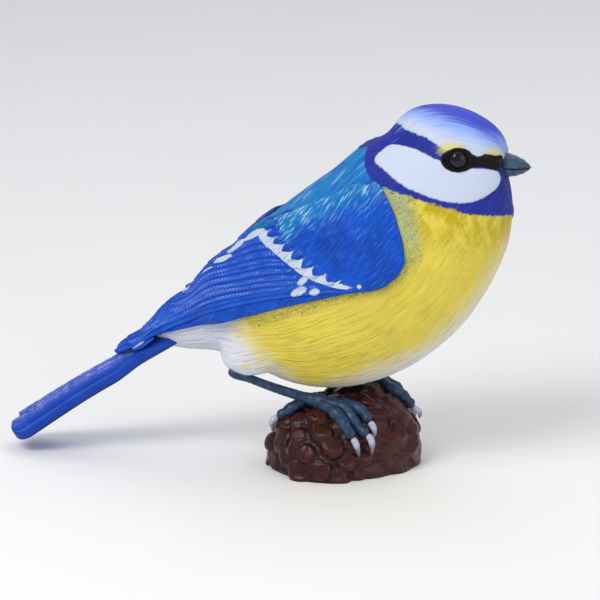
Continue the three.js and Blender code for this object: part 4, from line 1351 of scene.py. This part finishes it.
def wing_vane(heap, feather, spacing, covert=False):
    """A feather laid like a shingle: its lower edge stands over the next feather, its upper edge is sunk."""
    (from_along, from_turn), (to_along, to_turn), half, lift = feather
    length = to_along - from_along
    run = vane_steps(0, length, spacing, (2.1, 1.6, 1.1, 0.7, 0.4, 0.2, 0.08))
    share = run / length
    narrowing = np.sqrt(np.clip(1 - np.clip((run - (length - 2.8)) / 2.8, 0, 1) ** 2, 0.02, 1))
    sides = np.linspace(-1, 1, 11)
    along = (from_along + run)[:, None] * np.ones(sides.shape)
    turn = (from_turn + (to_turn - from_turn) * share)[:, None]
    _, _, _, middle = wing_reach(along[:, 0], turn[:, 0])
    turn = turn + sides * np.degrees(half * narrowing / middle)[:, None]
    raised = lift * np.minimum(1, 0.35 + share)[:, None]
    profile = 1 - 0.8 * np.abs(sides) ** 2.5 if to_turn < DOMED_ABOVE else ((sides + 1) / 2) ** 0.75
    shingle = (raised + EDGE_SUNK) * profile - EDGE_SUNK
    low_feather = feather in FLIGHT_FEATHERS[:2]
    if not low_feather:
        sunk_at, out_at = VANE_RISE
        risen = np.clip((run - sunk_at) / (out_at - sunk_at), 0, 1)[:, None]
        shingle = (shingle + ROOT_SUNK) * risen - ROOT_SUNK
    start, out, _, outer = wing_reach(along, turn)
    top = start + out * (outer + shingle)[..., None]
    under = start + out * (outer - VANE_SHEET)[..., None]
    end_start, end_out, _, end_outer = wing_reach(np.array([to_along]), np.array([to_turn]))
    end = (end_start + end_out * (end_outer + lift * 0.3)[:, None])[0]
    grid = np.ones(along.shape)
    add_sheet(
        heap, top, under, end, flow=wing_flow(along, turn),
        vane=np.stack([run[:, None] * grid, sides * grid, grid * (not covert)], -1), carve=(float(covert), 0.0),
        barred=float(not low_feather), **{"raise": 0.0}, **wing_marks(along, turn),
    )


def build_wing(settings, material, side):
    """A folded wing: its sheet, its long feathers and the coverts of the bar, mirrored for the left side."""
    heap = Heap()
    coarser = 1
    wing_shell(heap, 190 // coarser, 76 // coarser)
    for feather in FLIGHT_FEATHERS:
        wing_vane(heap, feather, 0.32 * coarser)
    length, rise, half, lift = COVERT
    for along, turn in BAR_TIPS:
        wing_vane(heap, ((along - length, turn - rise), (along, turn), half, lift), 0.32 * coarser, covert=True)
    points = np.concatenate(heap.points)
    points[:, 1] = np.minimum(points[:, 1], -SEAM / 2) * -side
    heap.points = [points]
    name = "right" if side == RIGHT else "left"
    strokes = {
        "Stroke width": settings.stroke_width * 1.1,
        "Stroke length": settings.stroke_length * 0.6,
        "Stroke depth": settings.stroke_depth * 1.9,
    }
    barbs = {"Barb spacing": settings.barb_spacing, "Barb depth": settings.barb_depth}
    piece = carved(heap.piece(f"wing_{name}_skin"), built("Carved strokes", stroke_carving), material, **strokes)
    piece = carved(piece, built("Carved barbs", barb_carving), material, **barbs)
    finished(piece, "wing_paint", f"wing_{name}")


# The tail


def over_tail(along, across, up):
    """A place over the tail: along it, out from its middle line, and above its roof."""
    c, s = math.cos(math.radians(TAIL_PITCH)), math.sin(math.radians(TAIL_PITCH))
    up = up + TAIL_ARCH * np.sin(math.pi * np.clip(along / TAIL_LENGTH, 0, 1))
    up = up - eased(TAIL_DROOP, along) * np.abs(across / tail_half(along)) ** 1.6
    return np.stack([TAIL_ROOT[0] - along * c - up * s, across, TAIL_ROOT[2] - along * s + up * c], -1)


def tail_half(along):
    """Half the width of the tail."""
    return (TAIL_WIDTHS[0] + (TAIL_WIDTHS[1] - TAIL_WIDTHS[0]) * along / TAIL_LENGTH) / 2


def tail_plate(heap, stations):
    """The roofed plate under the tail's feathers, rounded at its sides and its end."""
    even = np.linspace(0, TAIL_LENGTH - 3, stations)
    along = np.r_[even, TAIL_LENGTH - np.array([2.2, 1.5, 0.9, 0.45, 0.15])]
    sides = np.linspace(-1, 1, 33)
    rounded = np.sqrt(np.clip(1 - np.clip((along - 0.9 * TAIL_LENGTH) / (0.1 * TAIL_LENGTH), 0, 1) ** 2, 0, 1))
    grid = along[:, None] * np.ones(sides.shape)
    across = tail_half(grid) * sides * (0.35 + 0.65 * rounded)[:, None]
    rim = smooth(0.86, 1.0, np.abs(sides)) * np.ones(grid.shape)
    top = over_tail(grid, across, -0.35 * rim)
    under = over_tail(grid, across, 0.4 * rim - TAIL_PLATE)
    lane = np.abs(sides) * 2 % 1 * 2 - 1
    vane = np.stack([grid, lane * np.ones(grid.shape), 1 - rim], -1)
    add_sheet(heap, top, under, None, vane=vane, under=(0.0, 1.0), outer=np.abs(sides))


def tail_vane(heap, feather, side, spacing):
    """A feather of the tail, lower at its edges, whose inner edge slips under the feather beside it."""
    across, half, end, lift = feather
    run = vane_steps(TAIL_VANE_START, end, spacing, (2, 1.5, 1, 0.6, 0.3, 0.1))
    narrowing = np.sqrt(np.clip(1 - np.clip((run - (end - 3)) / 3, 0, 1) ** 2, 0.02, 1))
    sides = np.linspace(-1, 1, 13)
    grid = run[:, None] * np.ones(sides.shape)
    shrink = tail_half(grid) / (TAIL_WIDTHS[1] / 2)
    out = (side * across + sides * half * narrowing[:, None]) * shrink
    crown = lift - 0.32 * np.abs(sides) ** 2.2 * (0.6 if across else 1)
    if across:
        crown = crown - 0.25 * (1 - side * sides) / 2
    top = over_tail(grid, out, crown * np.ones(grid.shape))
    under = over_tail(grid, out, np.full(grid.shape, -0.8))
    tip = over_tail(np.array([end]), np.array([side * across * 1.0]), np.array([lift - 0.5]))[0]
    vane = np.stack([grid, sides * np.ones(grid.shape), np.ones(grid.shape)], -1)
    add_sheet(heap, top, under, tip, vane=vane, under=0.0, outer=np.abs(out) / tail_half(grid))


def build_tail(settings, paints):
    """The tail: a plate with one feather along its middle and the others stepped down on both sides."""
    heap = Heap()
    spacing = 0.3
    tail_plate(heap, int(TAIL_LENGTH / spacing))
    for feather in TAIL_FEATHERS:
        for side in (RIGHT, LEFT) if feather[0] else (LEFT,):
            tail_vane(heap, feather, side, spacing)
    barbs = {"Barb spacing": settings.barb_spacing, "Barb depth": settings.barb_depth}
    piece = carved(heap.piece("tail_skin"), built("Carved barbs", barb_carving), tail_paint(paints), **barbs)
    finished(piece, "wing_paint", "tail")


# Bill and eyes


def half_bill(name, upper, paints):
    """A half cone that ends flat along the line of the mouth, with a rounded ridge along its outer side."""
    stations = np.r_[np.linspace(0, 0.9, 40), 0.93, 0.96, 0.98, 0.995]
    wide, high = (half * eased(BILL_PROFILE, stations)[:, None] for half in BILL_HALF)
    base, tip = np.array(BILL_BASE, float), np.array(BILL_TIP, float)
    centre = base + (tip - base) * stations[:, None]
    x, middle = centre[:, 0:1], centre[:, 2:3]
    mouth = base[2] - MOUTH_DROP - math.sin(math.radians(MOUTH_PITCH)) * (x - base[0])
    turn = np.linspace(0, math.pi, 25) if upper else np.linspace(math.pi, math.tau, 25)
    line = mouth + (MOUTH_GAP if upper else -MOUTH_GAP)
    z = middle + high * np.sin(turn) * (1 + 0.06 * np.abs(np.sin(turn)) ** 6)
    z = np.maximum(z, line) if upper else np.minimum(z, line)
    shell = np.stack([x + 0 * z, wide * np.cos(turn), z], -1)
    lid_sides = np.linspace(-1, 1, 9)[1:-1] * (1 if upper else -1)
    flat = 0 * lid_sides
    lid = np.stack([x + flat, wide * lid_sides, line + flat], -1)
    rings = np.concatenate([shell, lid], 1)
    ridge = np.concatenate([np.abs(np.sin(turn)) ** 8, flat]) * np.ones((len(stations), 1))
    root = np.clip(1 - stations * 5, 0, 1)[:, None] * np.ones(ridge.shape)
    heap = Heap()
    heap.add(rings, rings[0].mean(0), rings[-1].mean(0) + (0.12, 0, 0), ridge=ridge, base=root)
    piece = heap.piece(f"{name}_skin")
    piece.data.materials.append(bill_paint(paints))
    finished(piece, "slate_paint", name)


def build_bill(paints):
    half_bill("bill_upper", True, paints)
    half_bill("bill_lower", False, paints)


def eye_place(side):
    """The middle of an eye and the way it looks."""
    level, rise = math.cos(math.radians(EYE_HEIGHT)), math.sin(math.radians(EYE_HEIGHT))
    turn = math.radians(EYE_AZIMUTH)
    way = np.array([[level * math.cos(turn), side * level * math.sin(turn), rise]])
    core = np.array([HEAD_CORE], float)
    far = reach(lambda p: field(BODY_MASSES, p), core, way)
    return (core + way * (far - EYE_SUNK)[:, None])[0], way[0]


def build_eyes(paints):
    """A glossy bead on each side, a little flatter in front."""
    material = eye_paint(paints)
    for name, side in (("eye_right", RIGHT), ("eye_left", LEFT)):
        place, way = eye_place(side)
        level = unit(np.cross(way, (0, 0, 1.0)))
        ball = ball_points(48, np.linspace(0, math.pi, 34)[1:-1]) @ np.stack([level, unit(np.cross(way, level)), way])
        radius = EYE_RADIUS * (1 - EYE_FLATTENED * smooth(0.7, 1.0, ball @ way))
        heap = Heap()
        front = place + way * EYE_RADIUS * (1 - EYE_FLATTENED)
        heap.add(place + ball * radius[..., None], front, place - way * EYE_RADIUS)
        piece = heap.piece(f"{name}_bead")
        piece.data.materials.append(material)
        finished(piece, "eye_gloss", name)


# The mound and the feet


def mound_dome(way):
    """How far the plain dome under the lumps lies from the mound's core."""
    c, s = math.cos(math.radians(DOME_TURN)), math.sin(math.radians(DOME_TURN))

    def outside(points):
        x = points[..., 0] - MOUND_CORE[0]
        long = x * c + points[..., 1] * s
        short = points[..., 1] * c - x * s
        tall = DOME_HALF[2] * (1 + DOME_SLANT * long / DOME_HALF[0])
        shares = np.stack([long / DOME_HALF[0], short / DOME_HALF[1], points[..., 2] / tall], -1)
        return (np.abs(shares) ** DOME_SQUARENESS).sum(-1) - 1

    return reach(outside, np.zeros(way.shape) + np.array(MOUND_CORE), way, 40)


def mound_lumps():
    """Centres and radii of the lumps, laid on a spiral over the dome, and the flat face pressed into each."""
    i = np.arange(LUMPS)
    height = (i + 0.5) / LUMPS
    turn = i * math.pi * (3 - math.sqrt(5))
    wobble = np.sin(i * 12.9898) * 0.5 + 0.5
    level = np.sqrt(1 - height**2)
    way = np.stack([level * np.cos(turn), level * np.sin(turn), height], -1)
    coarse = smooth(0, 0.8, way[:, 0] + way[:, 1] * 0.4)
    radius = (SMALL_LUMP + (LARGE_LUMP - SMALL_LUMP) * coarse) * (0.85 + 0.3 * wobble)
    out = mound_dome(way) - radius * (0.5 + 0.12 * wobble)
    across = unit(np.cross(way, (0.3, 0.2, 1.0)))
    upward = np.cross(way, across)
    lean = (LUMP_LEAN * (0.5 + 0.5 * np.sin(i * 78.233)))[:, None]
    aside = (i * 2.4)[:, None]
    facing = unit(way + lean * (np.cos(aside) * across + np.sin(aside) * upward))
    facets = (facing * way).sum(-1) * (out + radius * LUMP_CUT)
    return np.array(MOUND_CORE) + way * out[:, None], radius, facing, facets


LUMP_CENTRES, LUMP_RADII, LUMP_FACING, LUMP_FACETS = mound_lumps()


def mound_reach(way):
    """How far the mound's skin lies from its core, and how deep each place sits between the lumps."""
    dome = mound_dome(way)
    offset = LUMP_CENTRES - np.array(MOUND_CORE)
    along = way @ offset.T
    inside = along**2 - (offset**2).sum(-1) + LUMP_RADII**2
    flat = LUMP_FACETS / np.maximum(way @ LUMP_FACING.T, 0.05)
    side = along + np.sqrt(np.maximum(inside, 0))
    turn = np.clip(1 - np.abs(side - flat) / LUMP_ROUND, 0, 1)
    hits = np.where(inside > 0, np.minimum(side, flat) - turn**2 * LUMP_ROUND / 4, 0)
    hits = np.concatenate([hits, dome[..., None] * 0.96], -1)
    far = LUMP_MELT * np.log(np.exp(hits / LUMP_MELT).sum(-1))
    hollow = np.clip(dome + 1.2 - far, 0, None)
    return far + LUMP_SOFTENING * (dome + 0.2 - far), hollow


def gripped(place, lift):
    """The place on the mound's skin nearest a point, seen from its core, lifted by some height."""
    way = unit(np.array([place], float) - np.array(MOUND_CORE))
    far, _ = mound_reach(way)
    return (np.array(MOUND_CORE) + way * (far + lift)[:, None])[0]


def smooth_path(points, count=24):
    """A smooth path through the points."""
    p = np.array(points, float)
    p = np.concatenate([[2 * p[0] - p[1]], p, [2 * p[-1] - p[-2]]])
    rows = [between(*p[i - 1 : i + 3], share) for i in range(1, len(p) - 2) for share in np.arange(count) / count]
    return np.array([*rows, p[-2]])


def limb(name, points, radii, tree, material, **inputs):
    """A limb swept along a smooth path, whose radius is read from (share, radius) pairs."""
    path = smooth_path(points)
    lengths = np.r_[0, np.cumsum(np.linalg.norm(np.diff(path, axis=0), axis=1))]
    shares = lengths / lengths[-1]
    near_start = np.clip(lengths / radii[0][1], 0, 1)
    near_end = np.clip((lengths[-1] - lengths) / max(radii[-1][1], 0.2), 0, 1)
    thick = eased(radii, shares)
    for near in (near_start, near_end):
        thick = thick * np.sqrt(np.clip(1 - (1 - near) ** 2, 0.02, 1))
    curve = bpy.data.curves.new(name, "CURVE")
    curve.dimensions = "3D"
    spline = curve.splines.new("POLY")
    spline.points.add(len(path) - 1)
    spline.points.foreach_set("co", np.c_[path * MM, np.ones(len(path))].ravel())
    spline.points.foreach_set("radius", thick * MM)
    piece = bpy.data.objects.new(name, curve)
    bpy.context.scene.collection.objects.link(piece)
    return carved(piece, tree, material, **inputs)


def joined(name, pieces):
    """One object that holds the meshes of several."""
    keep, *rest = pieces
    with bpy.context.temp_override(active_object=keep, selected_editable_objects=pieces, object=keep):
        bpy.ops.object.join()
    keep.name = keep.data.name = name
    return keep


def build_foot(side, foot, settings, materials):
    """The shank from heel to foot, a pad, four toes that grip the mound, and a claw on each."""
    tree = built("Limb along a curve", limb_tree)
    folds = {"Scute spacing": settings.scute_spacing, "Scute depth": 0.05 * MM}
    smooth_nail = {"Scute spacing": 40 * MM, "Scute depth": 0.0}
    heel, palm = np.array(foot["heel"], float), gripped(foot["palm"], PALM_LIFT)
    shank = [heel + (-1.1, 0, 0.2), heel + (0.8, 0, -0.2), (heel + palm) / 2 + (0, 0, -0.3), palm]
    pad = [palm + (-2.2, 0, -0.1), palm + (0, 0, 0.1), palm + (2.2, 0, -0.1)]
    limbs = [
        limb("shank", shank, SHANK_RADII, tree, materials["leg"], **folds),
        limb("pad", pad, PAD_RADII, tree, materials["leg"], **folds),
    ]
    for name, (path, claw) in foot["toes"].items():
        places = [gripped(place, TOE_LIFT) for place in path]
        toe = [palm + (0, 0, -0.15), *places]
        limbs.append(limb("toe", toe, TOE_RADII, tree, materials["leg"], **folds))
        way = unit(places[-1] - places[-2])
        start, straight = places[-1] - way * 0.2, places[-1] + way * (SEAM + 0.55)
        end = gripped(claw, CLAW_LIFT)
        bend = (straight + end) / 2 + unit(places[-1] - np.array(MOUND_CORE)) * 0.6
        nail = [start, straight, bend, end]
        nail = limb(f"claw_{side}_{name}_nail", nail, CLAW_RADII, tree, materials["claw"], **smooth_nail)
        finished(nail, "claw_paint", f"claw_{side}_{name}")
    finished(joined(f"leg_{side}_skin", limbs), "slate_paint", f"leg_{side}")


def build_mound(settings, paints):
    """The mound: a dome of lumps pressed against each other, flat underneath."""
    rows, around = ((110, 380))
    rise = np.linspace(0, math.pi / 2, rows, endpoint=False)[:, None]
    turn = np.linspace(0, math.tau, around, endpoint=False)[None]
    upright = np.sin(rise) * np.ones_like(turn)
    way = np.stack([np.cos(rise) * np.cos(turn), np.cos(rise) * np.sin(turn), upright], -1)
    core = np.array(MOUND_CORE, float)
    far, hollow = mound_reach(way)
    rings = core + way * far[..., None]
    top_far, _ = mound_reach(np.array([[0, 0, 1.0]]))
    heap = Heap()
    heap.add(rings, core, core + (0, 0, top_far[0]), hollow=hollow, cover=smooth(0.3, 1.4, rings[..., 2]))
    piece = heap.piece("mound_skin")
    facets = {"Facet size": settings.lump_facet}
    piece = carved(piece, built("Pressed lumps", lump_carving), mound_paint(paints), **facets)
    finished(piece, "mound_paint", "mound")


# The stage


def aimed(thing, place, target):
    thing.location = place
    thing.rotation_euler = (Vector(target) - Vector(place)).to_track_quat("-Z", "Y").to_euler()
    return thing


def area_light(name, place, target, power, size, tint):
    light = bpy.data.lights.new(name, "AREA")
    light.energy = power
    light.shape = "SQUARE"
    light.size = size
    light.color = tint
    holder = bpy.data.objects.new(name, light)
    bpy.context.scene.collection.objects.link(holder)
    return aimed(holder, place, target)


def build_stage(stage):
    """The camera at the photograph's view, a pale floor, three soft lights and a pale room."""
    scene = bpy.context.scene
    target = Vector(CAMERA_TARGET) * MM
    a, e = stage.azimuth, stage.elevation
    back = Vector((math.sin(a) * math.cos(e), -math.cos(a) * math.cos(e), math.sin(e)))
    camera = bpy.data.cameras.new("Camera")
    camera.lens = stage.lens
    camera.sensor_width = 36
    camera.clip_start = 0.01
    holder = bpy.data.objects.new("Camera", camera)
    scene.collection.objects.link(holder)
    aimed(holder, target + back * stage.distance, target)
    scene.camera = holder
    corners = [(x * FLOOR_HALF, y * FLOOR_HALF, 0) for x, y in ((-1, -1), (1, -1), (1, 1), (-1, 1))]
    floor = mesh_piece("floor", corners, [[0, 1, 2, 3]])
    p = Paintwork("Pale floor")
    floor.data.materials.append(p.finish(p.mix(p.noise(p.place, 0.02, 2.0), *FLOOR_TONES), 0.7, None, 0.01))
    for name, (place, power, size, tint) in LIGHTS.items():
        area_light(name, place, target, getattr(stage, power), size, tint)
    world = bpy.data.worlds.new("Studio")
    world.use_nodes = True
    room = world.node_tree.nodes["Background"]
    room.inputs["Color"].default_value = ROOM_TINT
    room.inputs["Strength"].default_value = ROOM_LIGHT
    scene.world = world
    scene.view_settings.view_transform = "Standard"


# Operators and the panel


class BLUETIT_OT_skin(bpy.types.Operator):
    """Make the skin of head, neck and torso"""

    bl_idname = "bluetit.skin"
    bl_label = "Skin"

    def execute(self, context):
        scene = context.scene
        build_skin(scene.bluetit_carving, scene.bluetit_paints)
        return {"FINISHED"}


class BLUETIT_OT_wings(bpy.types.Operator):
    """Make both folded wings"""

    bl_idname = "bluetit.wings"
    bl_label = "Wings"

    def execute(self, context):
        scene = context.scene
        material = wing_paint(scene.bluetit_paints)
        for side in (RIGHT, LEFT):
            build_wing(scene.bluetit_carving, material, side)
        return {"FINISHED"}


class BLUETIT_OT_tail(bpy.types.Operator):
    """Make the tail and its stepped feathers"""

    bl_idname = "bluetit.tail"
    bl_label = "Tail"

    def execute(self, context):
        scene = context.scene
        build_tail(scene.bluetit_carving, scene.bluetit_paints)
        return {"FINISHED"}


class BLUETIT_OT_bill(bpy.types.Operator):
    """Make the two halves of the bill"""

    bl_idname = "bluetit.bill"
    bl_label = "Bill"

    def execute(self, context):
        build_bill(context.scene.bluetit_paints)
        return {"FINISHED"}


class BLUETIT_OT_eyes(bpy.types.Operator):
    """Make the glossy eyes"""

    bl_idname = "bluetit.eyes"
    bl_label = "Eyes"

    def execute(self, context):
        build_eyes(context.scene.bluetit_paints)
        return {"FINISHED"}


class BLUETIT_OT_feet(bpy.types.Operator):
    """Make legs, toes and claws"""

    bl_idname = "bluetit.feet"
    bl_label = "Feet"

    def execute(self, context):
        scene = context.scene
        paints = scene.bluetit_paints
        materials = {"leg": leg_paint(paints), "claw": claw_paint(paints)}
        for side, foot in FEET.items():
            build_foot(side, foot, scene.bluetit_carving, materials)
        return {"FINISHED"}


class BLUETIT_OT_mound(bpy.types.Operator):
    """Make the mound of lumps"""

    bl_idname = "bluetit.mound"
    bl_label = "Mound"

    def execute(self, context):
        scene = context.scene
        build_mound(scene.bluetit_carving, scene.bluetit_paints)
        return {"FINISHED"}


class BLUETIT_OT_stage(bpy.types.Operator):
    """Set the floor, the lights and the camera"""

    bl_idname = "bluetit.stage"
    bl_label = "Stage"

    def execute(self, context):
        build_stage(context.scene.bluetit_stage)
        return {"FINISHED"}


OPERATORS = (
    BLUETIT_OT_skin,
    BLUETIT_OT_wings,
    BLUETIT_OT_tail,
    BLUETIT_OT_bill,
    BLUETIT_OT_eyes,
    BLUETIT_OT_feet,
    BLUETIT_OT_mound,
    BLUETIT_OT_stage,
)


class BLUETIT_PT_panel(bpy.types.Panel):
    """Lists the pieces and their sizes and colours"""

    bl_label = "Blue tit"
    bl_idname = "BLUETIT_PT_panel"
    bl_space_type = "VIEW_3D"
    bl_region_type = "UI"
    bl_category = "Blue tit"

    def draw(self, context):
        scene = context.scene
        for operator in OPERATORS:
            self.layout.operator(operator.bl_idname)
        for settings in (scene.bluetit_carving, scene.bluetit_paints, scene.bluetit_stage):
            box = self.layout.box()
            for name in settings.bl_rna.properties.keys():
                if name not in ("rna_type", "name"):
                    box.prop(settings, name)


GROUPS = (
    ("bluetit_carving", BLUETIT_PG_carving),
    ("bluetit_paints", BLUETIT_PG_paints),
    ("bluetit_stage", BLUETIT_PG_stage),
)


def register():
    for _, group in GROUPS:
        bpy.utils.register_class(group)
    for operator in OPERATORS:
        bpy.utils.register_class(operator)
    bpy.utils.register_class(BLUETIT_PT_panel)
    for name, group in GROUPS:
        setattr(bpy.types.Scene, name, bpy.props.PointerProperty(type=group))


def unregister():
    for name, _ in GROUPS:
        delattr(bpy.types.Scene, name)
    bpy.utils.unregister_class(BLUETIT_PT_panel)
    for operator in reversed(OPERATORS):
        bpy.utils.unregister_class(operator)
    for _, group in reversed(GROUPS):
        bpy.utils.unregister_class(group)


def main():
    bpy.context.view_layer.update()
    register()
    for operator in OPERATORS:
        section, name = operator.bl_idname.split(".")
        getattr(getattr(bpy.ops, section), name)()


if __name__ == "__main__":
    main()
